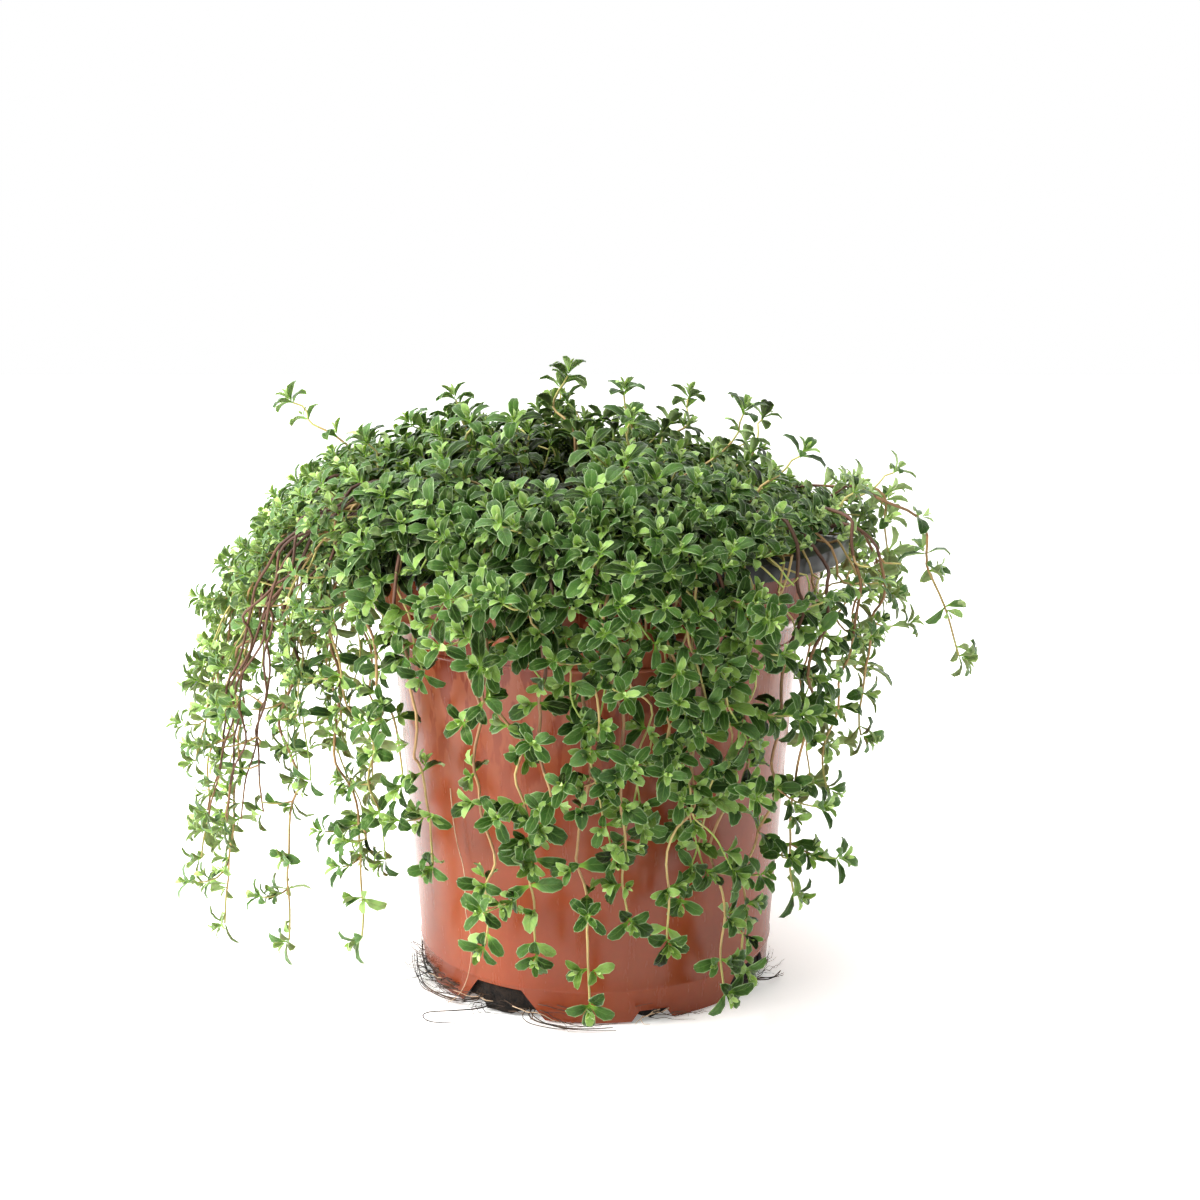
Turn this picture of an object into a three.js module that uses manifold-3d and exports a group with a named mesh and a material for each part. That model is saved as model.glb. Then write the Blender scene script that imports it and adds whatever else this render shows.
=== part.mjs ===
// Creeping thyme in a thin nursery pot: the pot, its soil and root ball, and one mesh for each leafy stem.
// Millimetres, +Z up. The pot stands on z = 0 with its axis on Z.
// Azimuths are in degrees: 0 faces -Y, and they grow towards +X.

import * as THREE from "three";
import { mergeVertices } from "three/addons/utils/BufferGeometryUtils.js";
import Module from "manifold-3d";

const wasm = await Module();
wasm.setup();

// ---------------------------------------------------------------- driving dimensions

const POT = {
  segments: 36,
  wall: 0.9,
  height: 115,
  rimRadius: 65,
  lipDrop: 4.4,
  lipBevel: 0.4,
  collarRadius: 58.5,
  collarFootRadius: 57.6,
  collarFootZ: 97.5,
  shoulderRadius: 53.1,
  shoulderZ: 94.5,
  shoulderInset: 0.3,
  footRadius: 46,
  footBevel: 0.8,
  floor: 1.2,
};

// Drainage notches repeat four times round the foot: a tall one, then a low one.
const NOTCHES = [
  { azimuth: -31, baseWidth: 25, topWidth: 13, height: 7.5 },
  { azimuth: 18, baseWidth: 11, topWidth: 7, height: 3 },
];
const NOTCH_REPEATS = 4;
const NOTCH_DEPTH = 6.5;

// Neighbouring pieces keep this gap. Leaves keep a little more from the pot and from the ground.
const GAP = 0.35;
const POT_GAP = 0.7;
const GROUND_GAP = 1.5;

const SOIL = { segments: 24, topZ: 105, relief: 1.1, rings: [1, 0.7, 0.36], lumpInset: 0.6, lumpLength: 14 };

// Roots that leave the notches and lie on the ground or round the foot: points as [azimuth, radius, z].
const ROOT_WIDTH = 0.7;
const ROOTS = [
  [[-38, 42, 3], [-39, 47.6, 2.2], [-49, 49.6, 1], [-60, 50.6, 0.8], [-70, 49.2, 1.6], [-79, 48.4, 3.4]],
  [[-34, 42, 2], [-35, 48, 1.2], [-42, 53.5, 0.8], [-47, 59, 0.7], [-42, 62, 0.7], [-36, 58, 0.8]],
  [[-21, 42, 2], [-21, 47.6, 1.2], [-13, 49.5, 0.8], [-4, 50.5, 0.7], [5, 49.4, 0.7]],
  [[57, 42, 2.2], [60, 47.8, 2], [65, 50.4, 1.1], [73, 50.8, 0.8]],
];

// A leafy stem is square; its leaves and side shoots grow straight out of its four faces.
const STEM = { rootWidth: 1.3, tipWidth: 0.85, holeDepth: 9, nodeLength: 1.1, firstLeaf: 0.28 };
const LEAF = { length: 7.3, width: 4.1, depth: 0.95, wideAt: 0.56, tipWidth: 0.4, recurve: 24, edge: 0.35 };
const SHOOT = { length: 15, width: 0.9, stations: [0.14, 0.5, 0.9, 0.97, 1], lift: 0.25 };

// How a long stem runs over the rim and hangs, and how a short one rises from the middle.
const TRAIL = { sway: 3.2, outwards: 28, perReach: 0.28, flare: 14, fallPerWhorl: 23, bareRings: 3 };
const TUFT = { sway: 2, crest: 0.34, rise: 0.62, whorls: 4, bareRings: 2, tufted: 3 };

// The part of a stem's parameter that lies before its crest.
const CREST_AT = 0.3;

// Long stems: azimuth at the crest, root radius, crest radius and z, tip radius and z, and how far the
// tip swings round from the crest, in degrees.
const TRAILS = [
  [-50, 44, 62, 120, 63, 60, 3],
  [-39, 40, 61, 125, 62, 42, 2],
  [-28, 44, 62, 120, 60, 24, 2],
  [-17, 40, 65, 124, 63, 48, 2],
  [-8, 44, 66, 120, 61, 24, -1],
  [1, 40, 66, 124, 60, 12, -1],
  [10, 44, 66, 120, 63, 34, -3],
  [20, 40, 65, 124, 63, 28, -2],
  [29, 44, 62, 120, 59, 11, 0],
  [39, 40, 61, 125, 60, 16, 1],
  [49, 44, 62, 120, 66, 34, -1],
  [61, 40, 61, 125, 68, 58, -2],
  [74, 44, 62, 120, 70, 66, -2],
  [85, 40, 61, 128, 94, 84, 0],
  [97, 44, 61, 121, 71, 76, 0],
  [109, 40, 61, 127, 84, 106, -3],
  [122, 44, 61, 121, 70, 38, 0],
  [136, 40, 61, 126, 80, 62, 2],
  [150, 44, 61, 121, 68, 22, -2],
  [164, 40, 61, 126, 84, 76, 0],
  [178, 44, 61, 121, 70, 34, 2],
  [192, 40, 61, 126, 82, 58, 0],
  [206, 44, 61, 121, 70, 16, -2],
  [219, 40, 61, 127, 90, 74, 2],
  [231, 44, 61, 122, 84, 30, 2],
  [243, 40, 61, 128, 101, 90, 1],
  [253, 44, 61, 123, 107, 66, 1],
  [262, 40, 61, 129, 110, 50, 1],
  [271, 44, 61, 123, 105, 28, 0],
  [280, 40, 61, 129, 98, 14, -1],
  [289, 44, 61, 122, 82, 13, -2],
  [299, 40, 61, 125, 66, 16, -2],
];

// Short stems: azimuth, root radius, tip radius and z.
const TUFTS = [
  [-103, 30, 83, 147],
  [98, 30, 80, 129],
  [-155, 12, 22, 154],
  [40, 6, 14, 151],
  [118, 26, 52, 142],
  [-77, 27, 58, 139],
  [-55, 31, 67, 132],
  [-34, 27, 58, 138],
  [-13, 31, 78, 127],
  [9, 27, 58, 138],
  [31, 31, 77, 127],
  [54, 27, 59, 138],
  [77, 31, 66, 127],
  [143, 31, 68, 133],
  [168, 27, 60, 139],
  [199, 31, 70, 133],
  [221, 27, 60, 140],
  [239, 31, 70, 134],
  [14, 15, 38, 146],
  [-52, 16, 40, 145],
  [76, 16, 38, 146],
  [140, 16, 42, 147],
  [196, 16, 42, 149],
  [250, 16, 40, 148],
];

const COLORS = { pot: 0xa55532, soil: 0x1d1713, leaf: 0x4d6f38 };

// ---------------------------------------------------------------- seeded draws and small vector helpers

// A small repeatable random number generator: each call gives the next number from 0 to 1.
function randomFrom(seed) {
  let state = seed >>> 0;
  return () => {
    state = (state + 0x6d2b79f5) >>> 0;
    let word = Math.imul(state ^ (state >>> 15), 1 | state);
    word = (word + Math.imul(word ^ (word >>> 7), 61 | word)) ^ word;
    return ((word ^ (word >>> 14)) >>> 0) / 2 ** 32;
  };
}

const radians = THREE.MathUtils.degToRad;
const lerp = THREE.MathUtils.lerp;
const clamp01 = (value) => THREE.MathUtils.clamp(value, 0, 1);

// A point at an azimuth, radius and height, moved sideways round the pot by "side" millimetres.
function polar(azimuth, radius, z, side = 0) {
  const angle = radians(azimuth);
  const x = radius * Math.sin(angle) + side * Math.cos(angle);
  const y = -radius * Math.cos(angle) + side * Math.sin(angle);
  return new THREE.Vector3(x, y, z);
}

function along(start, direction, distance) {
  return start.clone().addScaledVector(direction, distance);
}

// A cubic from p0 to p1 that leaves with slope m0 and arrives with slope m1.
function hermite([p0, m0, p1, m1], t) {
  const t2 = t * t;
  const t3 = t2 * t;
  return p0 * (2 * t3 - 3 * t2 + 1) + m0 * (t3 - 2 * t2 + t) + p1 * (3 * t2 - 2 * t3) + m1 * (t3 - t2);
}

// ---------------------------------------------------------------- solids

function toSolid(geometry) {
  const bare = geometry.clone();
  bare.deleteAttribute("normal");
  bare.deleteAttribute("uv");
  const merged = mergeVertices(bare, 1e-4);
  const vertProperties = new Float32Array(merged.attributes.position.array);
  const triVerts = new Uint32Array(merged.index.array);
  return new wasm.Manifold(new wasm.Mesh({ numProp: 3, vertProperties, triVerts }));
}

function toGeometry(solid) {
  const mesh = solid.getMesh();
  return indexedGeometry(mesh.vertProperties, mesh.triVerts);
}

function indexedGeometry(positions, indices) {
  const geometry = new THREE.BufferGeometry();
  geometry.setAttribute("position", new THREE.BufferAttribute(new Float32Array(positions), 3));
  geometry.setIndex(new THREE.BufferAttribute(new Uint32Array(indices), 1));
  geometry.computeVertexNormals();
  return geometry;
}

// A solid of revolution round Z. Its [radius, z] points start and end on the axis.
function turned(profile, segments) {
  const points = profile.map(([radius, z]) => new THREE.Vector2(radius, z));
  return new THREE.LatheGeometry(points, segments).rotateX(Math.PI / 2);
}

// A block with a notch's tapering outline between two radii and two heights, narrowed by "trim" on each side.
function notchBlock(notch, azimuth, [inner, outer], [z0, z1], trim) {
  const half = (z) => lerp(notch.baseWidth, notch.topWidth, z / notch.height) / 2 - trim;
  const outline = new THREE.Shape();
  outline.moveTo(-half(z0), z0);
  outline.lineTo(half(z0), z0);
  outline.lineTo(half(z1), z1);
  outline.lineTo(-half(z1), z1);
  const block = new THREE.ExtrudeGeometry(outline, { depth: outer - inner, bevelEnabled: false });
  block.rotateX(Math.PI / 2);
  block.translate(0, -inner, 0);
  return toSolid(block.rotateZ(radians(azimuth)));
}

// Calls make(notch, azimuth) for every notch round the foot.
function eachNotch(make) {
  const quarter = 360 / NOTCH_REPEATS;
  const turns = [...Array(NOTCH_REPEATS).keys()];
  return turns.flatMap((turn) => NOTCHES.map((notch) => make(notch, notch.azimuth + quarter * turn)));
}

// ---------------------------------------------------------------- the pot

function potProfile() {
  const { wall, height, rimRadius, lipDrop, lipBevel, collarRadius, collarFootRadius, collarFootZ } = POT;
  const { shoulderRadius, shoulderZ, shoulderInset, footRadius, footBevel, floor } = POT;
  const underLip = height - wall;
  const lipEdge = height - lipDrop;
  return [
    [0, 0],
    [footRadius - footBevel, 0],
    [footRadius, footBevel],
    [shoulderRadius, shoulderZ],
    [collarFootRadius, collarFootZ],
    [collarRadius, underLip],
    [rimRadius - wall, underLip],
    [rimRadius - wall, lipEdge],
    [rimRadius, lipEdge],
    [rimRadius, height - lipBevel],
    [rimRadius - lipBevel, height],
    [collarRadius - wall, height],
    [collarFootRadius - wall, collarFootZ + shoulderInset],
    [shoulderRadius - wall, shoulderZ + shoulderInset],
    [footRadius - wall, floor],
    [0, floor],
  ];
}

function potGeometry() {
  const radii = [POT.footRadius - NOTCH_DEPTH, POT.footRadius + 3];
  const cutters = eachNotch((notch, azimuth) => notchBlock(notch, azimuth, radii, [-1, notch.height], 0));
  const whole = toSolid(turned(potProfile(), POT.segments));
  return toGeometry(cutters.reduce((solid, cutter) => solid.subtract(cutter), whole));
}

// The outside radius of the pot at a height.
function outsideRadius(z) {
  if (z > POT.height - POT.lipDrop) {
    return POT.rimRadius;
  }
  if (z > POT.collarFootZ) {
    return POT.collarRadius;
  }
  const body = lerp(POT.footRadius, POT.shoulderRadius, clamp01(z / POT.shoulderZ));
  const step = clamp01((z - POT.shoulderZ) / (POT.collarFootZ - POT.shoulderZ));
  return lerp(body, POT.collarFootRadius, step);
}

function clearOfPot(point) {
  const radius = Math.hypot(point.x, point.y);
  const above = point.z > POT.height + POT_GAP;
  const outside = radius > outsideRadius(point.z) + POT_GAP;
  const insideRadius = POT.collarFootRadius - POT.wall - POT_GAP;
  const inside = radius < insideRadius && point.z > SOIL.topZ + SOIL.relief + POT_GAP;
  return point.z > GROUND_GAP && (above || outside || inside);
}

// ---------------------------------------------------------------- soil and root ball

// Low lumps on top of the soil.
function soilHeight(x, y) {
  const lumps = Math.sin(x * 0.19 + 1.3) * Math.cos(y * 0.23 - 0.7) + Math.sin(x * 0.11 - y * 0.13);
  return SOIL.topZ + SOIL.relief * 0.5 * lumps;
}

function soilPlug() {
  const inset = POT.wall + GAP;
  const topRadius = POT.collarFootRadius - inset;
  const profile = [
    [0, POT.floor + GAP],
    [POT.footRadius - inset, POT.floor + GAP],
    [POT.shoulderRadius - inset, POT.shoulderZ + POT.shoulderInset],
    [topRadius - GAP, POT.collarFootZ + 2 * POT.shoulderInset],
    ...SOIL.rings.map((part) => [topRadius * part, SOIL.topZ]),
    [0, SOIL.topZ],
  ];
  const plug = turned(profile, SOIL.segments);
  const position = plug.attributes.position;
  for (let i = 0; i < position.count; i += 1) {
    if (position.getZ(i) === SOIL.topZ) {
      position.setZ(i, soilHeight(position.getX(i), position.getY(i)));
    }
  }
  return toSolid(plug);
}

// The root ball swells a little into each notch.
function notchLump(notch, azimuth) {
  const outer = POT.footRadius - SOIL.lumpInset;
  const heights = [POT.floor + GAP, notch.height - GAP];
  return notchBlock(notch, azimuth, [outer - SOIL.lumpLength, outer], heights, GAP);
}

function rootStrand(points) {
  const spots = points.map(([azimuth, radius, z]) => polar(azimuth, radius, z));
  const curve = new THREE.CatmullRomCurve3(spots, false, "centripetal");
  const frames = framesAlong(curve.getPoints(spots.length), new THREE.Vector3(0, 0, 1));
  const mesh = new StemMesh();
  const rings = frames.map((frame) => mesh.ring(frame, ROOT_WIDTH / 2));
  mesh.closeStart(rings[0]);
  rings.slice(1).forEach((ring, i) => mesh.sleeve(rings[i], ring));
  mesh.quad(...rings.at(-1));
  return toSolid(mesh.geometry());
}

// A square hole that a stem stands in, wider than the stem by the gap on every side.
function stemHole(stem) {
  const width = STEM.rootWidth + 2 * GAP;
  const height = 2 * STEM.holeDepth;
  const hole = new THREE.BoxGeometry(width, width, height);
  hole.rotateZ(radians(stem.azimuth));
  const middle = polar(stem.azimuth, stem.rootRadius, SOIL.topZ - GAP);
  return toSolid(hole.translate(middle.x, middle.y, middle.z));
}

function soilGeometry(stems) {
  const additions = [...eachNotch(notchLump), ...ROOTS.map(rootStrand)];
  const ball = additions.reduce((solid, piece) => solid.add(piece), soilPlug());
  return toGeometry(stems.map(stemHole).reduce((solid, hole) => solid.subtract(hole), ball));
}

// ---------------------------------------------------------------- the mesh of a leafy stem

// Square frames along a run of points: each has its centre, its tangent and two side directions.
function framesAlong(points, firstNormal) {
  let normal = firstNormal;
  return points.map((centre, i) => {
    const before = points[Math.max(i - 1, 0)];
    const after = points[Math.min(i + 1, points.length - 1)];
    const tangent = after.clone().sub(before).normalize();
    normal = along(normal, tangent, -normal.dot(tangent)).normalize();
    return { centre, tangent, normal, binormal: tangent.clone().cross(normal) };
  });
}

// The outward directions of a frame's four faces, in the order of its corners.
function faceDirections({ normal, binormal }) {
  return [binormal, normal.clone().negate(), binormal.clone().negate(), normal];
}

class StemMesh {
  constructor() {
    this.points = [];
    this.triangles = [];
  }

  point(place) {
    this.points.push(place.x, place.y, place.z);
    return this.points.length / 3 - 1;
  }

  triangle(a, b, c) {
    this.triangles.push(a, b, c);
  }

  quad(a, b, c, d) {
    this.triangle(a, b, c);
    this.triangle(a, c, d);
  }

  // Four corners round a frame, anticlockwise when looked at from the tip.
  ring(frame, half) {
    const signs = [[1, 1], [-1, 1], [-1, -1], [1, -1]];
    return signs.map(([alongNormal, alongBinormal]) => {
      const middle = along(frame.centre, frame.normal, alongNormal * half);
      return this.point(along(middle, frame.binormal, alongBinormal * half));
    });
  }

  // The four corners of one face between two rings, anticlockwise from outside, root end first.
  face(lower, upper, side) {
    const next = (side + 1) % 4;
    return [lower[side], lower[next], upper[next], upper[side]];
  }

  sleeve(lower, upper) {
    for (let side = 0; side < 4; side += 1) {
      this.quad(...this.face(lower, upper, side));
    }
  }

  closeStart(ring) {
    this.quad(...ring.toReversed());
  }

  closeTip(ring, place) {
    const apex = this.point(place);
    for (let side = 0; side < 4; side += 1) {
      this.triangle(ring[side], ring[(side + 1) % 4], apex);
    }
  }

  // A keeled, arched leaf that grows out of the four corners of a stem face.
  leaf([a, b, c, d], corners) {
    const [left, right, keel, tipLeft, tipRight] = corners.map((corner) => this.point(corner));
    this.quad(c, d, left, right);
    this.triangle(d, a, left);
    this.triangle(a, keel, left);
    this.triangle(b, c, right);
    this.triangle(b, right, keel);
    this.triangle(a, b, keel);
    this.quad(right, left, tipLeft, tipRight);
    this.triangle(left, keel, tipLeft);
    this.triangle(keel, right, tipRight);
    this.triangle(keel, tipRight, tipLeft);
  }

  // One joint of the stem: on each of its four faces a leaf, a side shoot or bare stem.
  whorl(lower, upper, { leaves, shoots }) {
    for (let side = 0; side < 4; side += 1) {
      const corners = this.face(lower, upper, side);
      if (leaves[side]) {
        this.leaf(corners, leaves[side]);
      } else if (shoots[side]) {
        this.shoot(corners, shoots[side]);
      } else {
        this.quad(...corners);
      }
    }
  }

  // The rings of stations from "lower" on, with a whorl above each station that carries one.
  grow(lower, stations) {
    const rings = stations.slice(0, -1).map(({ frame, half }) => this.ring(frame, half));
    rings.forEach((upper, i) => {
      const carrier = stations[i - 1]?.leaves ? stations[i - 1] : null;
      if (carrier) {
        this.whorl(lower, upper, carrier);
      } else if (lower) {
        this.sleeve(lower, upper);
      } else {
        this.closeStart(upper);
      }
      lower = upper;
    });
    this.closeTip(lower, stations.at(-1).frame.centre);
  }

  // A side shoot starts at the four corners of a stem face.
  shoot(corners, stations) {
    this.grow(corners, stations);
  }

  geometry() {
    return indexedGeometry(this.points, this.triangles);
  }
}

// ---------------------------------------------------------------- keeping stems and leaves apart

// Everything placed so far, as straight bars with a radius and the joints of the stem that they meet.
const bars = [];

function makeBar(from, to, radius, joints) {
  const middle = from.clone().lerp(to, 0.5);
  return { from, to, radius, joints, middle, reach: from.distanceTo(to) / 2 + radius };
}

function chainOfBars(spots, radius, joints) {
  return spots.slice(1).map((spot, i) => makeBar(spots[i], spot, radius, joints));
}

// The shortest distance between two straight bars' centre lines.
function barDistance(first, second) {
  const u = first.to.clone().sub(first.from);
  const v = second.to.clone().sub(second.from);
  const w = first.from.clone().sub(second.from);
  const uu = u.dot(u);
  const uv = u.dot(v);
  const vv = v.dot(v);
  const slack = uu * vv - uv * uv;
  const firstPart = slack > 1e-9 ? clamp01((uv * v.dot(w) - vv * u.dot(w)) / slack) : 0;
  const secondPart = clamp01((uv * firstPart + v.dot(w)) / vv);
  const bestPart = clamp01((uv * secondPart - u.dot(w)) / uu);
  return along(along(w, u, bestPart), v, -secondPart).length();
}

// Whether bars that grow from one joint are clear of the pot and of every bar that doesn't meet that joint.
function haveRoom(tried, joint) {
  const others = bars.filter((bar) => !bar.joints.includes(joint));
  return tried.every((bar) => clearOfPot(bar.to) && clearOfPot(bar.middle) && others.every((other) => {
    const near = bar.middle.distanceTo(other.middle) < bar.reach + other.reach + GAP;
    return !near || barDistance(bar, other) > bar.radius + other.radius + GAP;
  }));
}

// ---------------------------------------------------------------- leaves and side shoots

// A leaf's corners, and the three lines from its root to its tip that stand for it in the test for room.
function leafShape({ frame, half }, outward, size, lean, swing) {
  const heading = outward.clone().applyAxisAngle(frame.tangent, radians(swing));
  const across = heading.clone().cross(frame.tangent).normalize();
  const leaning = (angle) => {
    const direction = frame.tangent.clone().multiplyScalar(Math.cos(radians(angle)));
    return along(direction, heading, Math.sin(radians(angle)));
  };
  const length = LEAF.length * size;
  const halfWidth = (LEAF.width * size) / 2;
  const tipHalfWidth = halfWidth * LEAF.tipWidth;
  const base = along(frame.centre, outward, half);
  const middle = along(base, leaning(lean), length * LEAF.wideAt);
  const tip = along(middle, leaning(lean + LEAF.recurve), length * (1 - LEAF.wideAt));
  const keel = along(middle, leaning(lean + 90 + LEAF.recurve / 2), LEAF.depth);
  const left = along(middle, across, halfWidth);
  const right = along(middle, across, -halfWidth);
  const tipLeft = along(tip, across, tipHalfWidth);
  const tipRight = along(tip, across, -tipHalfWidth);
  const core = middle.clone().lerp(keel, 0.5);
  return {
    corners: [left, right, keel, tipLeft, tipRight],
    lines: [[base, left, tipLeft], [base, core, tip], [base, right, tipRight]],
  };
}

// Changes of lean and swing that a leaf tries in turn until it has room.
const LEAF_TRIES = [[0, 0], [14, 10], [14, -10], [-12, 0], [26, 0], [8, 24], [8, -24]];

// The corners of a leaf on one face of a station, or null where there is no room for it.
function placeLeaf(station, side, size, joint, draw) {
  const outward = faceDirections(station.frame)[side];
  const lean = 46 + 16 * draw();
  const swing = 16 * (draw() - 0.5);
  for (const [moreLean, moreSwing] of LEAF_TRIES) {
    const shape = leafShape(station, outward, size, lean + moreLean, swing + moreSwing);
    const tried = shape.lines.flatMap((line) => chainOfBars(line, LEAF.edge, [joint]));
    if (haveRoom(tried, joint)) {
      bars.push(...tried);
      return shape.corners;
    }
  }
  return null;
}

function placeLeaves(station, sides, size, joint, draw) {
  station.shoots ??= [null, null, null, null];
  station.leaves = [null, null, null, null];
  for (const side of sides) {
    station.leaves[side] = placeLeaf(station, side, size, joint, draw);
  }
}

// The stations of a short side shoot on one face, with a whorl near its tip, or null where it has no room.
function placeShoot(station, side, joint, draw) {
  const outward = faceDirections(station.frame)[side];
  const { tangent, centre } = station.frame;
  const length = SHOOT.length * (0.8 + 0.4 * draw());
  const heading = tangent.clone().multiplyScalar(0.62).addScaledVector(outward, 0.78).normalize();
  const base = along(centre, outward, station.half);
  const up = new THREE.Vector3(0, 0, 1);
  const spots = SHOOT.stations.map((part) => {
    return along(along(base, heading, length * part), up, SHOOT.lift * length * part * part);
  });
  const shootJoint = `${joint} shoot`;
  const tried = chainOfBars(spots, SHOOT.width * 0.7, [joint, shootJoint]);
  if (!haveRoom(tried, joint)) {
    return null;
  }
  bars.push(...tried);
  const stations = framesAlong(spots, tangent).map((frame) => ({ frame, half: SHOOT.width / 2 }));
  placeLeaves(stations[2], [0, 1, 2, 3], 0.82, shootJoint, draw);
  return stations;
}

// ---------------------------------------------------------------- planning the stems

// The centre line of a stem, as a function from 0 at the soil's surface to 1 at the tip. Its radius and its
// height each follow two cubics, one before the crest and one after it, given as [start, slope, end, slope].
function stemCurve(stem) {
  const draw = randomFrom(stem.seed);
  const phase = 2 * Math.PI * draw();
  const sway = stem.sway * (0.6 + 0.8 * draw());
  return (t) => {
    const beforeCrest = t < CREST_AT;
    const part = beforeCrest ? t / CREST_AT : (t - CREST_AT) / (1 - CREST_AT);
    const radius = hermite(stem.radii[beforeCrest ? 0 : 1], part);
    const z = hermite(stem.heights[beforeCrest ? 0 : 1], part);
    const side = sway * Math.sin(phase + 5 * t) * Math.min(t * 4, 1);
    return polar(stem.azimuth + stem.swing * t, radius, z, side);
  };
}

// The length of a curve, and a function that gives the point at a distance along it.
function measureCurve(curve) {
  const steps = 160;
  const spots = [...Array(steps + 1).keys()].map((i) => curve(i / steps));
  const lengths = [0];
  for (let i = 1; i <= steps; i += 1) {
    lengths.push(lengths[i - 1] + spots[i].distanceTo(spots[i - 1]));
  }
  const at = (distance) => {
    const i = Math.max(lengths.findIndex((length) => length >= distance), 1);
    return spots[i - 1].clone().lerp(spots[i], (distance - lengths[i - 1]) / (lengths[i] - lengths[i - 1]));
  };
  return { length: lengths.at(-1), at };
}

// Where the rings of a stem go: bare rings first, then a pair of rings for every whorl of leaves.
function stemStations(stem) {
  const { length, at } = measureCurve(stemCurve(stem));
  const firstLeaf = STEM.firstLeaf * length;
  const pitch = (length - firstLeaf - 1) / stem.whorls;
  const spots = [polar(stem.azimuth, stem.rootRadius, SOIL.topZ - STEM.holeDepth), at(0)];
  for (let i = 1; i <= stem.bareRings; i += 1) {
    spots.push(at((i / (stem.bareRings + 1)) * (firstLeaf + pitch / 2)));
  }
  for (let i = 1; i <= stem.whorls; i += 1) {
    const top = firstLeaf + i * pitch - STEM.nodeLength / 2;
    spots.push(at(top - STEM.nodeLength), at(top));
  }
  spots.push(at(length));
  const tangential = polar(stem.azimuth + 90, 1, 0);
  return framesAlong(spots, tangential).map((frame, i) => {
    return { frame, half: lerp(STEM.rootWidth, STEM.tipWidth, i / (spots.length - 1)) / 2 };
  });
}

function jointName(stem, station) {
  return `${stem.name} ${station}`;
}

// Claims the room of a bare stem before any leaf is placed.
function claimStem(stem) {
  stem.stations = stemStations(stem);
  for (let i = 2; i < stem.stations.length; i += 1) {
    const [before, after] = [stem.stations[i - 1], stem.stations[i]];
    const joints = [i - 2, i - 1, i].map((station) => jointName(stem, station));
    bars.push(makeBar(before.frame.centre, after.frame.centre, after.half * Math.SQRT2, joints));
  }
}

// Places the side shoots and leaves of a stem, from its tip to its root. Pairs of leaves are crossed.
function placeWhorls(stem) {
  const draw = randomFrom(stem.seed + 5000);
  for (let fromTip = 0; fromTip < stem.whorls; fromTip += 1) {
    const index = stem.stations.length - 3 - 2 * fromTip;
    const station = stem.stations[index];
    const joint = jointName(stem, index);
    const crossed = (stem.whorls - fromTip) % 2;
    const [pair, others] = crossed ? [[0, 2], [1, 3]] : [[1, 3], [0, 2]];
    const size = fromTip === 0 ? 0.84 : 0.92 + 0.16 * draw();
    station.shoots = [null, null, null, null];
    if (stem.shootAt === fromTip) {
      const side = others[draw() < 0.5 ? 0 : 1];
      station.shoots[side] = placeShoot(station, side, joint, draw);
    }
    const full = fromTip === 0 || fromTip === 2;
    const sides = (full ? [...pair, ...others] : pair).filter((side) => !station.shoots[side]);
    placeLeaves(station, sides, size, joint, draw);
  }
}

function stemGeometry(stem) {
  const mesh = new StemMesh();
  mesh.grow(null, stem.stations);
  return mesh.geometry();
}

// ---------------------------------------------------------------- the plant

function pieceName(kind, i) {
  return `${kind}_${String(i + 1).padStart(2, "0")}`;
}

function trailStem([azimuth, rootRadius, crestRadius, crestZ, tipRadius, tipZ, swing], i) {
  const rise = crestZ - SOIL.topZ;
  const fall = crestZ - tipZ;
  const reach = tipRadius - crestRadius;
  const outwards = TRAIL.outwards + TRAIL.perReach * Math.max(reach, 0);
  return {
    name: pieceName("trail", i),
    seed: 100 + i,
    azimuth,
    rootRadius,
    swing,
    radii: [
      [rootRadius, 0, crestRadius, 0.9 * outwards],
      [crestRadius, 2.4 * outwards, tipRadius, TRAIL.flare],
    ],
    heights: [
      [SOIL.topZ, 1.5 * rise, crestZ, 0],
      [crestZ, 0, tipZ, -0.95 * fall],
    ],
    sway: TRAIL.sway,
    bareRings: TRAIL.bareRings,
    whorls: Math.round(1.7 + (fall + reach) / TRAIL.fallPerWhorl),
    shootAt: null,
  };
}

function tuftStem([azimuth, rootRadius, tipRadius, tipZ], i) {
  const reach = tipRadius - rootRadius;
  const crestRadius = rootRadius + TUFT.crest * reach;
  const crestZ = lerp(SOIL.topZ, tipZ, TUFT.rise);
  const rise = crestZ - SOIL.topZ;
  return {
    name: pieceName("tuft", i),
    seed: 300 + i,
    azimuth,
    rootRadius,
    swing: 0,
    radii: [
      [rootRadius, 0, crestRadius, 0.9 * reach],
      [crestRadius, 2.4 * reach, tipRadius, 0.6 * reach],
    ],
    heights: [
      [SOIL.topZ, 1.5 * rise, crestZ, 0.5 * rise],
      [crestZ, rise, tipZ, 0.5 * (tipZ - crestZ)],
    ],
    sway: TUFT.sway,
    bareRings: TUFT.bareRings,
    whorls: TUFT.whorls,
    shootAt: i % TUFT.tufted === 0 ? 1 : null,
  };
}

const stems = [...TRAILS.map(trailStem), ...TUFTS.map(tuftStem)];
stems.forEach(claimStem);
stems.forEach(placeWhorls);

// ---------------------------------------------------------------- the scene graph

function addPiece(group, name, geometry, color, roughness) {
  const material = new THREE.MeshStandardMaterial({ color, roughness, metalness: 0 });
  const piece = new THREE.Mesh(geometry, material);
  piece.name = name;
  group.add(piece);
}

const plant = new THREE.Group();
addPiece(plant, "pot", potGeometry(), COLORS.pot, 0.25);
addPiece(plant, "soil", soilGeometry(stems), COLORS.soil, 0.95);
for (const stem of stems) {
  addPiece(plant, stem.name, stemGeometry(stem), COLORS.leaf, 0.6);
}

export default plant;
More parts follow.
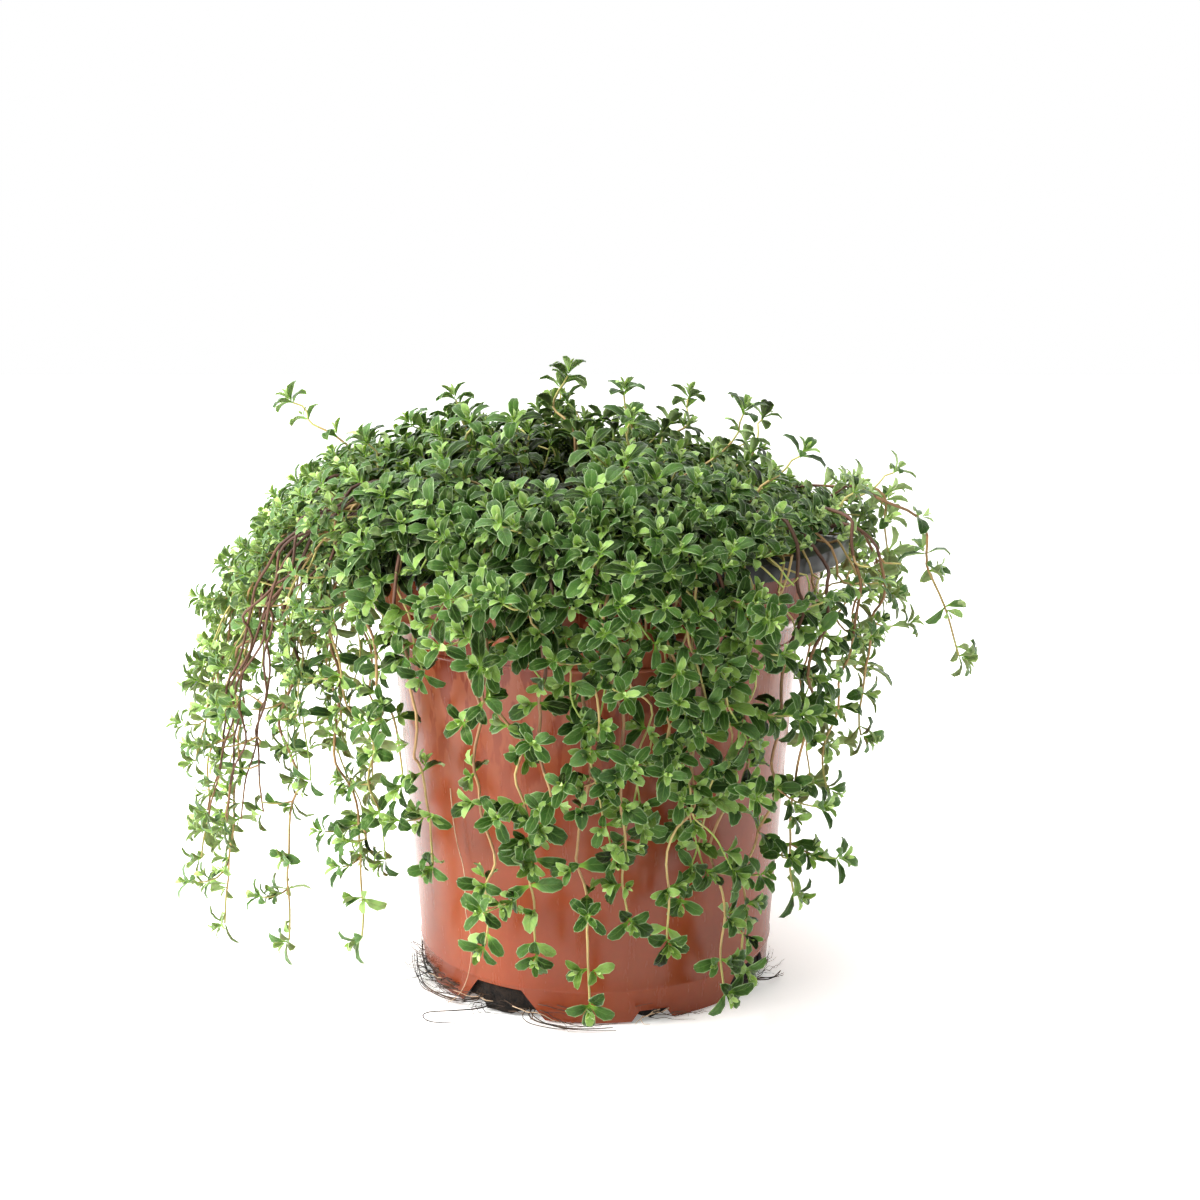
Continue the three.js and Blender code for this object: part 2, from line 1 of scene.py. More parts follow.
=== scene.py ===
# %% [markdown]
# # A potted creeping thyme
#
# The plant is a cushion of small leafy stems in a nursery pot. The cushion
# spills over the rim on every side and hangs down the pot, further on the left
# than elsewhere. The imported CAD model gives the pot, the root ball and one
# plain stem for each strand. This lesson dresses them: a glossy two-colour pot,
# crumbly compost, a fringe of roots, and tens of thousands of small leaves.
#
# We start by loading the frame. Everything below is built in millimetres,
# because a grower thinks in millimetres, and is scaled to metres at the end.

# %% Load the frame
import math
import random

import bmesh
import bpy
from mathutils import Matrix, Vector, noise


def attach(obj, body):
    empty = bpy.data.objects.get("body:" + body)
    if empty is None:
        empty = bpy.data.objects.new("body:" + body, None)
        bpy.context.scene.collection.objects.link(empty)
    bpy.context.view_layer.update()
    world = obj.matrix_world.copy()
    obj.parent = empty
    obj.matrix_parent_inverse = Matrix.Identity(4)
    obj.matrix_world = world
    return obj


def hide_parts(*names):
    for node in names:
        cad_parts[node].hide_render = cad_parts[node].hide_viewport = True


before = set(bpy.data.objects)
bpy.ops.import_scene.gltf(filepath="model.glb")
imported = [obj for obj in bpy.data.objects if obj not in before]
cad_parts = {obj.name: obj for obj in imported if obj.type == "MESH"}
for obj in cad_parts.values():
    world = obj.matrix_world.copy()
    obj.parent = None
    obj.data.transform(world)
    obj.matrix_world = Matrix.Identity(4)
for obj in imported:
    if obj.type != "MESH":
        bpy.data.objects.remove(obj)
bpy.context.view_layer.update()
MM = 0.001
UP = Vector((0, 0, 1))

# %% [markdown]
# ## The camera
#
# The photograph was taken from a little above the rim, about 43 cm in front of
# the pot. The lens follows from how tall the pot looks at that distance. With
# the default 36 mm sensor that is a normal lens of about 50 mm.

# %% Place the camera
CAMERA_PLACE = Vector((1.2, -431, 177.5)) * MM
CAMERA_DOWN = math.radians(10.57)
LENS_LENGTH = 50.4  # mm
lens = bpy.data.cameras.new("front_camera")
lens.lens = LENS_LENGTH
lens.clip_start = 0.02
camera = bpy.data.objects.new("front_camera", lens)
camera.location = CAMERA_PLACE
camera.rotation_euler = (math.pi / 2 - CAMERA_DOWN, 0, 0)
bpy.context.scene.collection.objects.link(camera)
bpy.context.scene.camera = camera
print("camera", round(lens.lens, 1), "mm")

# %% [markdown]
# ## Small helpers
#
# A few functions do what every piece and finish needs: turn a colour code into
# Blender's linear colour, start a material, add a node and fill in its inputs,
# and turn finished mesh data into an object that rides on the frame. An input is
# named as in Blender, with _ for a space, so From_Min=0.2 fills "From Min". Some
# nodes hide inputs that their settings don't use, and only live ones are counted.

# %% Helpers
scene = bpy.context.scene


def clamp(value):
    """The value, or the nearer of 0 and 1 where it lies outside them."""
    return min(1, max(0, value))


def linear(code):
    """An sRGB hex colour such as "#A55532" as the linear colour that nodes use."""
    parts = [int(code[i : i + 2], 16) / 255 for i in (1, 3, 5)]
    return (*[p / 12.92 if p <= 0.04045 else ((p + 0.055) / 1.055) ** 2.4 for p in parts], 1)


def new_material(name):
    """A material, its tree of nodes and its Principled shader."""
    material = bpy.data.materials.new(name)
    material.use_nodes = True
    return material, material.node_tree, material.node_tree.nodes["Principled BSDF"]


def fill(tree, node, *values, **named):
    """Fills a node's live inputs, in order or by name. A node given as a value is linked by its output."""
    live = [socket for socket in node.inputs if socket.enabled]
    sockets = {socket.name.replace(" ", "_"): socket for socket in live}
    for socket, value in [*zip(live, values), *[(sockets[name], named[name]) for name in named]]:
        if isinstance(value, bpy.types.Node):
            value = next(output for output in value.outputs if output.enabled)
        if isinstance(value, bpy.types.NodeSocket):
            tree.links.new(value, socket)
        else:
            socket.default_value = value


def add(tree, kind, *values, ramp=(), **named):
    """Adds a node. Names in small letters are settings, the others inputs. ramp lists colour stops."""
    node = tree.nodes.new("ShaderNode" + kind)
    for name in [name for name in named if name.islower()]:
        setattr(node, name, named.pop(name))
    for k, (position, code) in enumerate(ramp):
        if k > 1:
            node.color_ramp.elements.new(position)
        node.color_ramp.elements[k].position = position
        node.color_ramp.elements[k].color = linear(code)
    fill(tree, node, *values, **named)
    return node


def to_mesh(name, bm):
    """Turns a bmesh into mesh data."""
    mesh = bpy.data.meshes.new(name)
    bm.to_mesh(mesh)
    bm.free()
    return mesh


def finished(name, bm, materials, body_slot, replaced=()):
    """Turns a bmesh in millimetres into a finished piece that rides on the frame."""
    bmesh.ops.scale(bm, vec=(MM, MM, MM), verts=bm.verts)
    mesh = to_mesh(name, bm)
    piece = bpy.data.objects.new(name, mesh)
    scene.collection.objects.link(piece)
    for material in materials:
        mesh.materials.append(material)
    if body_slot:
        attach(piece, "root")
    if replaced:
        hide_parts(*replaced)
    return piece


print("helpers ready")

# %% [markdown]
# ## Light and floor
#
# The picture is high-key: floor and background are burnt out to white, with only
# a breath of shadow beside the pot. So the light is stronger than the camera's
# white, and the plant's own colours are deep. The room is bright behind the plant
# and to the left, and darker where the photographer stood, which gives the
# plastic bright edges. The camera itself sees plain white. One large soft lamp to
# the left gives the leaves their shape, and a weak one hangs above. The floor is
# white acrylic that glows a little, so the shadow stays faint. The Standard view
# keeps white plain white.

# %% Set up the light and the floor
scene.view_settings.view_transform = "Standard"
DARK_SIDE, BRIGHT_SIDE, BRIGHT_WAY = 0.2, 2.3, (-0.5, 0.84, 0.2)
world = bpy.data.worlds.new("white_room")
world.use_nodes = True
tree = world.node_tree
way = add(tree, "TexCoord").outputs["Generated"]
facing = add(tree, "VectorMath", way, BRIGHT_WAY, operation="DOT_PRODUCT")
room = add(tree, "MapRange", facing, -0.8, 0.9, DARK_SIDE, BRIGHT_SIDE)
to_camera = add(tree, "LightPath").outputs["Is Camera Ray"]
brightness = add(tree, "Mix", to_camera, room, 1.0)
fill(tree, tree.nodes["Background"], Color=(1, 1, 1, 1), Strength=brightness)
scene.world = world


PLANT_MIDDLE = Vector((0, 0, 0.09))


def soft_lamp(name, place, size, watts):
    """A square lamp that looks at the middle of the plant."""
    lamp = bpy.data.lights.new(name, "AREA")
    lamp.size = size
    lamp.energy = watts
    holder = bpy.data.objects.new(name, lamp)
    holder.location = place
    aim = PLANT_MIDDLE - Vector(place)
    holder.rotation_euler = aim.to_track_quat("-Z", "Y").to_euler()
    scene.collection.objects.link(holder)


soft_lamp("window_left", (-0.95, -0.4, 0.8), 0.7, 32)
soft_lamp("ceiling", (-0.1, 0.1, 1.3), 1.0, 6)

acrylic, tree, shader = new_material("matte_white_acrylic")
fill(tree, shader, Base_Color=linear("#FBFBFA"), Roughness=0.9, Specular_IOR_Level=0.1)
fill(tree, shader, Emission_Color=linear("#FFFDF8"), Emission_Strength=0.26)
FLOOR_HALF, FLOOR_Z = 3000, -0.3
bm = bmesh.new()
bmesh.ops.create_grid(bm, x_segments=1, y_segments=1, size=FLOOR_HALF)
bmesh.ops.translate(bm, vec=(0, 0, FLOOR_Z), verts=bm.verts)
floor = finished("floor", bm, [acrylic], None)
print("floor", 2 * FLOOR_HALF / 1000, "m wide")

# %% [markdown]
# ## The pot's plastic
#
# A thin nursery pot is thermoformed: a warm sheet of polypropylene is drawn into
# a mould. This sheet has two layers, terracotta outside and black inside, and the
# black one shows on the turned-down lip. The plastic is glossy but not flat: it
# shrank unevenly, so reflections break up into tall blotches, and a bump gives
# that. Two tones of one brown are clouded over 26 mm, with specks of 1.6 mm.
# Handling leaves scuffs, which are a little rougher than the skin around them.
# Below the collar the colour is painted lighter towards the top, a painted reflection of
# the bright room, and water has run down and left darker drips in it.
# All patterns read Object coordinates, so a noise scale is one divided by a size
# in metres. A Mapping node with a small Z scale draws a pattern out upwards.

# %% Make the two plastics
terracotta, tree, shader = new_material("terracotta_polypropylene")
place = add(tree, "TexCoord").outputs["Object"]
clouds = add(tree, "TexNoise", place, Scale=1 / (26 * MM), Detail=3)
specks = add(tree, "TexNoise", place, Scale=1 / (1.6 * MM), Detail=2).outputs["Color"]
paint = add(tree, "ValToRGB", clouds, ramp=((0.3, "#762E0F"), (0.7, "#803815")))
speckled = add(tree, "Mix", 0.12, paint, specks, data_type="RGBA", blend_type="SOFT_LIGHT")

height = add(tree, "SeparateXYZ", place).outputs["Z"]
upper_part = add(tree, "MapRange", height, 48 * MM, 92 * MM, 0.12, 1)
runs = add(tree, "Mapping", place, Scale=(1, 1, 0.3))
run_noise = add(tree, "TexNoise", runs, Scale=1 / (4.5 * MM), Detail=3, Roughness=0.6)
washed = add(tree, "MapRange", run_noise, 0.5, 0.56, interpolation_type="SMOOTHSTEP")
drips = add(tree, "Math", washed, upper_part, operation="MULTIPLY")
# painted reflection: towards the top the colour is mixed with a lighter pink-brown, the bright room reflected
# in the plastic
lighter_share = add(tree, "Math", upper_part, 0.5, operation="MULTIPLY")
painted_sheen = add(tree, "Mix", lighter_share, speckled, linear("#9C5A3E"), data_type="RGBA")
wet = add(tree, "Math", drips, 0.9, operation="MULTIPLY")
dripped = add(tree, "Mix", wet, painted_sheen, linear("#6C230A"), data_type="RGBA")

scuffs = add(tree, "Mapping", place, Scale=(1, 1, 0.15))
scuff_marks = add(tree, "TexNoise", scuffs, Scale=1 / (2.5 * MM), Detail=4, Roughness=0.7)
roughness = add(tree, "MapRange", scuff_marks, 0.35, 0.75, 0.22, 0.3)
tall = add(tree, "Mapping", place, Scale=(1, 1, 0.25))
shrink = add(tree, "TexNoise", tall, Scale=1 / (3.2 * MM), Detail=2)
blotches = add(tree, "Math", shrink, upper_part, operation="MULTIPLY")
ripple = add(tree, "Bump", Strength=0.35, Distance=0.26 * MM, Height=blotches)
fill(tree, shader, Base_Color=dripped, Roughness=roughness, Normal=ripple, IOR=1.49, Specular_IOR_Level=0.32)

black_plastic, tree, shader = new_material("black_polypropylene")
place = add(tree, "TexCoord").outputs["Object"]
lighter_share = add(tree, "TexNoise", place, Scale=1 / (7 * MM), Detail=5)
paint = add(tree, "Mix", lighter_share, linear("#0B0C0C"), linear("#232423"), data_type="RGBA")
roughness = add(tree, "MapRange", lighter_share, To_Min=0.2, To_Max=0.42)
fill(tree, shader, Base_Color=paint, Roughness=roughness, IOR=1.49)
print("plastics:", terracotta.name, black_plastic.name)

# %% [markdown]
# ## The pot
#
# A pot is turned, so half of its cross-section is spun round the Z axis. The
# profile runs from the middle of the base up the outside, over the lip and back
# down the inside, so one spin makes a closed wall. The photograph shows fine
# ridges under the collar and near the foot. The CAD pot has 36 flat sides; this
# one has 160 and keeps its sizes.

# %% Turn the pot
POT_HEIGHT, RIM_RADIUS, LIP_DROP = 115, 65, 4.4
COLLAR_RADIUS, COLLAR_FOOT_RADIUS, COLLAR_FOOT_Z = 58.5, 57.6, 97.5
SHOULDER_RADIUS, SHOULDER_Z, FOOT_RADIUS, WALL = 53.1, 94.5, 46, 0.9
POT_SIDES = 160


def body_radius(z):
    """The outside radius of the tapering wall under the shoulder."""
    return FOOT_RADIUS + (SHOULDER_RADIUS - FOOT_RADIUS) * z / SHOULDER_Z


def ridge(z, height, width):
    """A fine raised line round the wall: four points, the outer two on the wall."""
    steps = ((-width, 0), (-width / 3, height), (width / 3, height), (width, 0))
    return [(body_radius(z + dz) + out, z + dz) for dz, out in steps]


def radius_of(point):
    """How far a point lies from the pot's axis."""
    return math.hypot(point.x, point.y)


def turned(outline, sides):
    """Spins half a cross-section, given as radius and height, round the Z axis."""
    bm = bmesh.new()
    profile = [bm.verts.new((radius, 0, z)) for radius, z in outline]
    rungs = [bm.edges.new(pair) for pair in zip(profile, profile[1:])]
    bmesh.ops.spin(
        bm, geom=profile + rungs, cent=(0, 0, 0), axis=(0, 0, 1), angle=math.tau, steps=sides, use_merge=True
    )
    bmesh.ops.remove_doubles(bm, verts=bm.verts, dist=0.01)
    bmesh.ops.recalc_face_normals(bm, faces=bm.faces)
    return bm


def beside(radius, *steps):
    """Points of the profile: each step says how far it lies outside a radius, and its height."""
    return [(radius + out, z) for out, z in steps]


outside = [
    (0, 0.6), *beside(FOOT_RADIUS, (-3.2, 0.6), (-2.6, 0), (-0.7, 0), (-0.1, 0.25), (0, 0.8)),
    *ridge(8.6, 0.28, 0.7), (body_radius(30), 30), (body_radius(60), 60), *ridge(90.2, 0.3, 0.6),
    *beside(SHOULDER_RADIUS, (-0.05, 93.9), (0.25, SHOULDER_Z)),
    *beside(COLLAR_FOOT_RADIUS, (-0.6, 96.9), (0, COLLAR_FOOT_Z), (0.35, 98.2), (0.1, 98.9)),
]
lip = [
    *beside(COLLAR_RADIUS, (-0.1, 112.6), (0.4, 113.7)),
    *beside(RIM_RADIUS, (-1.5, 114), (-0.95, 113.6), (-0.9, 110.9), (-0.6, 110.6), (-0.2, 110.7)),
    *beside(RIM_RADIUS, (0, 111), (0, 114.2), (-0.25, 114.8), (-0.8, POT_HEIGHT)),
    *beside(COLLAR_RADIUS, (0.2, POT_HEIGHT), (-0.6, 114.8), (-0.95, 114.2)),
]
inside = [
    (COLLAR_RADIUS - WALL - 0.2, 112), (COLLAR_FOOT_RADIUS - WALL, 97.9), (SHOULDER_RADIUS - WALL, 94.6),
    (body_radius(30) - WALL, 30), (FOOT_RADIUS - WALL, 2), (FOOT_RADIUS - WALL - 0.6, 1.4), (0, 1.4),
]
bm = turned(outside + lip + inside, POT_SIDES)
for face in bm.faces:
    middle = face.calc_center_median()
    outer_skin = face.normal.to_2d().dot(middle.to_2d()) > 0 and middle.z < 113
    is_terracotta = (outer_skin or middle.z < 0.7) and radius_of(middle) < RIM_RADIUS - 2
    face.material_index = 0 if is_terracotta else 1
    face.smooth = True
pot_shell = finished("pot_shell", bm, [terracotta, black_plastic], "pot", ["pot"])
print("pot:", POT_SIDES, "sides,", len(outside + lip + inside), "points in its profile")

# %% [markdown]
# The trapezoid notches in the foot let water out. A Boolean modifier cuts them,
# as a punch cuts the real ones. The cutters are short blocks with sloping sides,
# in two sizes that repeat every quarter turn. They are deleted after the cut.

# %% Cut the notches
NOTCHES = [(-31, 25, 13, 7.5), (18, 11, 7, 3)]  # azimuth, width at the base and at the top, height
NOTCH_TURNS = [90 * k for k in range(4)]


def polar(azimuth, radius, z, side=0):
    """A point round the pot. Azimuth 0 faces the camera and grows to the right."""
    angle = math.radians(azimuth)
    x = radius * math.sin(angle) + side * math.cos(angle)
    return Vector((x, side * math.sin(angle) - radius * math.cos(angle), z))


bm = bmesh.new()
for azimuth, base, top, height in NOTCHES:
    for turn in NOTCH_TURNS:
        block = bmesh.ops.create_cube(bm, size=1)["verts"]
        for corner in block:
            z = -1 if corner.co.z < 0 else height
            width = base + (top - base) * z / height
            corner.co = polar(azimuth + turn, FOOT_RADIUS - 2 + 10 * corner.co.y, z, width * corner.co.x)
        bmesh.ops.recalc_face_normals(bm, faces=[f for f in bm.faces if f.verts[0] in block])
cutter = finished("notch_cutter", bm, [black_plastic], None)

cut = pot_shell.modifiers.new("notches", "BOOLEAN")
cut.operation, cut.solver, cut.object = "DIFFERENCE", "EXACT", cutter
depsgraph = bpy.context.evaluated_depsgraph_get()
notched = bpy.data.meshes.new_from_object(pot_shell.evaluated_get(depsgraph))
pot_shell.modifiers.clear()
pot_shell.data = notched
bpy.data.objects.remove(cutter)
notched.set_sharp_from_angle(angle=math.radians(32))
print("pot:", len(notched.polygons), "faces")

# %% [markdown]
# ## The compost
#
# Behind the leaves the pot is full of dark peat compost held together by roots.
# Peat is nearly black when damp and hardly shines at all. Its grain is a noise of
# about 2 mm, which gives both the colour and a strong bump.

# %% Make the compost's finish
compost, tree, shader = new_material("damp_peat_compost")
place = add(tree, "TexCoord").outputs["Object"]
grain = add(tree, "TexNoise", place, Scale=1 / (1.8 * MM), Detail=6, Roughness=0.65)
paint = add(tree, "ValToRGB", grain, ramp=((0.35, "#080605"), (0.72, "#2A1F17")))
lumps = add(tree, "Bump", Strength=0.9, Distance=1.0 * MM, Height=grain)
fill(tree, shader, Base_Color=paint, Normal=lumps, Roughness=0.95, Specular_IOR_Level=0.25)
print("compost finish:", compost.name)

# %% [markdown]
# The root ball is turned like the pot and fits inside it. Its surface is crumbly,
# so the top is cut into small faces that a noise lifts and sinks, and a few
# hundred crumbs lie on it. In the notches the compost shows and bulges out a
# little, and low down it is drawn down to the ground: a dark fill that stands for
# the shade in the notches.

# %% Fill the pot
SOIL_Z, SOIL_GAP = 105, 0.35


def soil_height(x, y):
    """The low lumps of the compost's surface, as in the CAD model."""
    lumps = math.sin(x * 0.19 + 1.3) * math.cos(y * 0.23 - 0.7) + math.sin(x * 0.11 - y * 0.13)
    return SOIL_Z + 0.55 * lumps


def azimuth_of(point):
    """Where a point lies round the pot, in degrees."""
    return math.degrees(math.atan2(point.x, -point.y))


def notch_share(point):
    """How far a point of the root ball lies inside a notch, from 0 to 1."""
    best = 0
    for middle, base, top, height in NOTCHES:
        for turn in NOTCH_TURNS:
            off = abs((azimuth_of(point) - middle - turn + 180) % 360 - 180) * math.radians(FOOT_RADIUS)
            if point.z < height - 0.6:
                best = max(best, clamp((top / 2 - off) / 2))
    return best


wall_in = WALL + SOIL_GAP
plug = [(0, 1.75), (FOOT_RADIUS - wall_in - 0.8, 1.75), (FOOT_RADIUS - wall_in, 2.4)]
plug += [(body_radius(z) - wall_in, z) for z in (4, 6, 8, 12, 20, 40, 60, 80)]
plug += [(SHOULDER_RADIUS - wall_in, 94.9), *[(COLLAR_FOOT_RADIUS - wall_in, z) for z in (98.2, 104)]]
plug += [(radius, SOIL_Z) for radius in range(55, 0, -2)] + [(0, SOIL_Z)]
bm = turned(plug, 120)
for vert in bm.verts:
    rough = noise.noise(vert.co * 0.35) + 0.6 * noise.noise(vert.co * 0.9)
    if vert.co.z > SOIL_Z - 0.5:
        vert.co.z = soil_height(vert.co.x, vert.co.y) + 1.1 * rough
    elif vert.co.z < 9 and radius_of(vert.co) > FOOT_RADIUS - 3:
        out = Vector((vert.co.x, vert.co.y, 0)).normalized()
        share = notch_share(vert.co)
        vert.co += out * share * (0.9 + 0.4 * rough)
        if vert.co.z < 3:  # in the notches the compost is drawn down to the ground, a dark fill for the shade there
            vert.co.z -= share * (vert.co.z - 0.4)
for face in bm.faces:
    face.smooth = True
root_ball = finished("root_ball", bm, [compost], "soil", ["soil"])

def anywhere(draw, reach):
    """A place that is picked at random, within reach of the pot's axis."""
    return polar(draw.uniform(0, 360), reach * math.sqrt(draw.random()), 0)


draw = random.Random(11)
CRUMBS, CRUMB_REACH = 420, 54
bm = bmesh.new()
for _ in range(CRUMBS):
    crumb = bmesh.ops.create_icosphere(bm, subdivisions=1, radius=draw.uniform(0.5, 1.5))["verts"]
    spot = anywhere(draw, CRUMB_REACH)
    spot.z = soil_height(spot.x, spot.y) + 0.4
    stretch = Matrix.Diagonal((draw.uniform(0.6, 1.5), draw.uniform(0.6, 1.3), draw.uniform(0.5, 0.9), 1))
    turn = Matrix.Rotation(draw.uniform(0, math.tau), 4, "Z")
    bmesh.ops.transform(bm, matrix=Matrix.Translation(spot) @ turn @ stretch, verts=crumb)
crumbs = finished("compost_crumbs", bm, [compost], "soil")
print("compost:", len(root_ball.data.polygons), "faces and", len(crumbs.data.polygons), "of crumbs")

# %% [markdown]
# ## One sheet of colours, one tube for every stem and root
#
# Thousands of leaves and stems can't each have their own picture, so the UV map
# is laid out as a sheet of samples: 8 ages from left to right, each with an upper
# and a lower side, and 7 tones from bottom to top. The top row is for stems.
#
# A stem is a tube that follows a path. The cheap way to make hundreds of them
# is a blank: a straight tube with its rings at whole heights, made once for each
# number of rings and then copied and bent. Ring number k of the copy is moved to
# point k of the path. Its UV map says how far round and along a face is, and
# which colour column it takes, from old wood to young green.

# %% Blanks for tubes
SHEET = "OFBake"
AGES, TONES = 8, 7
SHEET_COLUMNS, SHEET_ROWS = 2 * AGES, TONES + 1
SIDES = 5
tube_blanks = {}


def on_sheet(column, row):
    """The UV place of a column and a row of the sheet, both with their part inside the sample."""
    return column / SHEET_COLUMNS, row / SHEET_ROWS


def empty_mesh():
    """A new bmesh with the UV map that places its faces on the sheet."""
    bm = bmesh.new()
    bm.loops.layers.uv.new(SHEET)
    return bm


def paste(bm, blank):
    """Adds a copy of a blank and returns its points and faces."""
    verts, faces = len(bm.verts), len(bm.faces)
    bm.from_mesh(blank)
    bm.verts.ensure_lookup_table()
    bm.faces.ensure_lookup_table()
    return bm.verts[verts:], bm.faces[faces:]


def tube_blank(rings):
    """A straight five-sided tube up the Z axis, with one ring at each whole height."""
    if rings not in tube_blanks:
        bm = empty_mesh()
        bmesh.ops.create_cone(bm, cap_ends=True, segments=SIDES, radius1=1, radius2=1, depth=rings - 1)
        bmesh.ops.translate(bm, vec=(0, 0, (rings - 1) / 2), verts=bm.verts)
        uprights = [e for e in bm.edges if abs(e.verts[0].co.z - e.verts[1].co.z) > 0.5]
        if rings > 2:
            bmesh.ops.subdivide_edges(bm, edges=uprights, cuts=rings - 2)
        uv = bm.loops.layers.uv.active
        for face in bm.faces:
            face.smooth = len(face.verts) == 4
            middle = face.calc_center_median()
            centre = math.atan2(middle.y, middle.x)
            for loop in face.loops:
                spot = loop.vert.co
                turn = math.atan2(spot.y, spot.x) - centre
                turn = (turn + math.pi) % math.tau - math.pi
                loop[uv].uv = ((centre + turn) / math.tau + 0.5, spot.z)
        tube_blanks[rings] = to_mesh(f"tube_{rings}", bm)
    return tube_blanks[rings]


print("a tube blank with 6 rings has", len(tube_blank(6).polygons), "faces")

# %% [markdown]
# To bend the blank, each point of the path needs two directions square to it.
# They are carried along from point to point, so the tube doesn't twist.

# %% Bend a tube along a path
def frames_along(path):
    """For each point of a path its direction and two sides that don't twist."""
    last = len(path) - 1
    ways = [(path[min(i + 1, last)] - path[max(i - 1, 0)]).normalized() for i in range(last + 1)]
    side = ways[0].orthogonal().normalized()
    frames = []
    for before, way in zip([ways[0], *ways], ways):
        side = before.rotation_difference(way) @ side
        frames.append((way, side, way.cross(side)))
    return frames


def lay_tube(bm, path, widths, ages=(0, 0)):
    """Bends a tube along a path. Widths and ages run from its root to its tip."""
    rings = len(path)
    verts, faces = paste(bm, tube_blank(rings))
    frames = frames_along(path)
    for vert in verts:
        k = round(vert.co.z)
        share = k / (rings - 1)
        radius = (widths[0] + (widths[1] - widths[0]) * share) / 2
        _, side, other = frames[k]
        vert.co = path[k] + side * (vert.co.x * radius) + other * (vert.co.y * radius)
    uv = bm.loops.layers.uv.active
    for face in faces:
        low = min(loop[uv].uv.y for loop in face.loops)
        age = ages[0] + (ages[1] - ages[0]) * low / (rings - 1)
        column = 2 * min(AGES - 1, int(age * AGES))
        for loop in face.loops:
            around, along = loop[uv].uv
            up_and_down = abs((along / 4) % 2 - 1)
            loop[uv].uv = on_sheet(column + 0.1 + 1.8 * clamp(around), TONES + 0.06 + 0.88 * up_and_down)


def evenly(path, step):
    """The path again with its points a given distance apart."""
    lengths = [0]
    for a, b in zip(path, path[1:]):
        lengths.append(lengths[-1] + (b - a).length)
    count = max(2, round(lengths[-1] / step) + 1)
    points, k = [], 0
    for i in range(count):
        goal = lengths[-1] * i / (count - 1)
        while k < len(path) - 2 and lengths[k + 1] < goal:
            k += 1
        share = (goal - lengths[k]) / max(1e-6, lengths[k + 1] - lengths[k])
        points.append(path[k].lerp(path[k + 1], share))
    return points


def rounded(points):
    """A smooth path through a few points: corners are cut twice."""
    for _ in range(2):
        cut = [points[0]]
        for a, b in zip(points, points[1:]):
            cut += [a.lerp(b, 0.25), a.lerp(b, 0.75)]
        points = [*cut, points[-1]]
    return points


print("tubes can be laid")

# %% [markdown]
# ## Roots round the foot
#
# The plant has stood in this pot for a while. Fine dark roots have grown out of
# the notches and matted round the left of the foot, and a thicker one makes a
# loop on the ground. One pale thread hangs down the face of the pot. Dry roots
# are matt and brown, blotched over a few millimetres; the young thread is cream.

# %% Make the roots' finishes
root_skin, tree, shader = new_material("dry_fine_root")
place = add(tree, "TexCoord").outputs["Object"]
patches = add(tree, "TexNoise", place, Scale=1 / (5 * MM), Detail=3)
paint = add(tree, "ValToRGB", patches, ramp=((0.4, "#17100C"), (0.68, "#553E2A")))
fill(tree, shader, Base_Color=paint, Roughness=0.8)

pale_root, tree, shader = new_material("pale_thread_root")
place = add(tree, "TexCoord").outputs["Object"]
patches = add(tree, "TexNoise", place, Scale=1 / (4 * MM), Detail=3)
paint = add(tree, "Mix", patches, linear("#8C6A48"), linear("#D9BFA0"), data_type="RGBA")
fill(tree, shader, Base_Color=paint, Roughness=0.65)
print("root finishes:", root_skin.name, pale_root.name)

# %% [markdown]
# Roots are thin tubes. The four strands of the CAD model are repeated, with a few
# looser ones beside them. The fringe wanders: its roots start in the notches or
# near them and turn a little at each step.

# %% Lay the roots
ROOTS = [  # azimuth, radius, height: the four strands of the CAD model
    [(-38, 42, 3), (-39, 47.6, 2.2), (-49, 49.6, 1), (-60, 50.6, 0.8), (-70, 49.2, 1.6), (-79, 48.4, 3.4)],
    [(-34, 42, 2), (-35, 48, 1.2), (-42, 53.5, 0.8), (-47, 59, 0.7), (-42, 62, 0.7), (-36, 58, 0.8)],
    [(-21, 42, 2), (-21, 47.6, 1.2), (-13, 49.5, 0.8), (-4, 50.5, 0.7), (5, 49.4, 0.7)],
    [(57, 42, 2.2), (60, 47.8, 2), (65, 50.4, 1.1), (73, 50.8, 0.8)],
]
LOOP = 1  # the one that lies alone
FRINGE = [  # azimuth, number of roots, the way they drift in degrees
    (-72, 44, -90), (-56, 34, -80), (-38, 16, -40), (-20, 8, 80),
    (14, 6, 60), (60, 12, 70), (150, 12, 90), (240, 12, 60),
]
THREAD = [  # azimuth, radius, height
    (-41.5, 52.85, 58), (-42, 51.35, 46), (-39, 50.25, 36), (-41, 49.35, 27),
    (-38.5, 48.65, 18), (-41, 47.85, 9), (-44, 48.55, 3), (-47, 50.85, 0.5),
]
ROOT_STEP = 2.2


def wander(draw, azimuth, z, length, drift):
    """A root's path that lies round the foot and on the ground."""
    points, heading, radius = [], drift + draw.uniform(-40, 40), body_radius(0) + 0.6
    for _ in range(int(length / ROOT_STEP)):
        points.append(polar(azimuth, radius, z))
        heading += draw.uniform(-38, 38)
        azimuth += math.degrees(ROOT_STEP * math.sin(math.radians(heading)) / radius)
        radius = max(body_radius(z) + 0.5, radius + ROOT_STEP * math.cos(math.radians(heading)) * 0.4)
        z = max(0.25, z + draw.uniform(-0.9, 0.55))
    return points


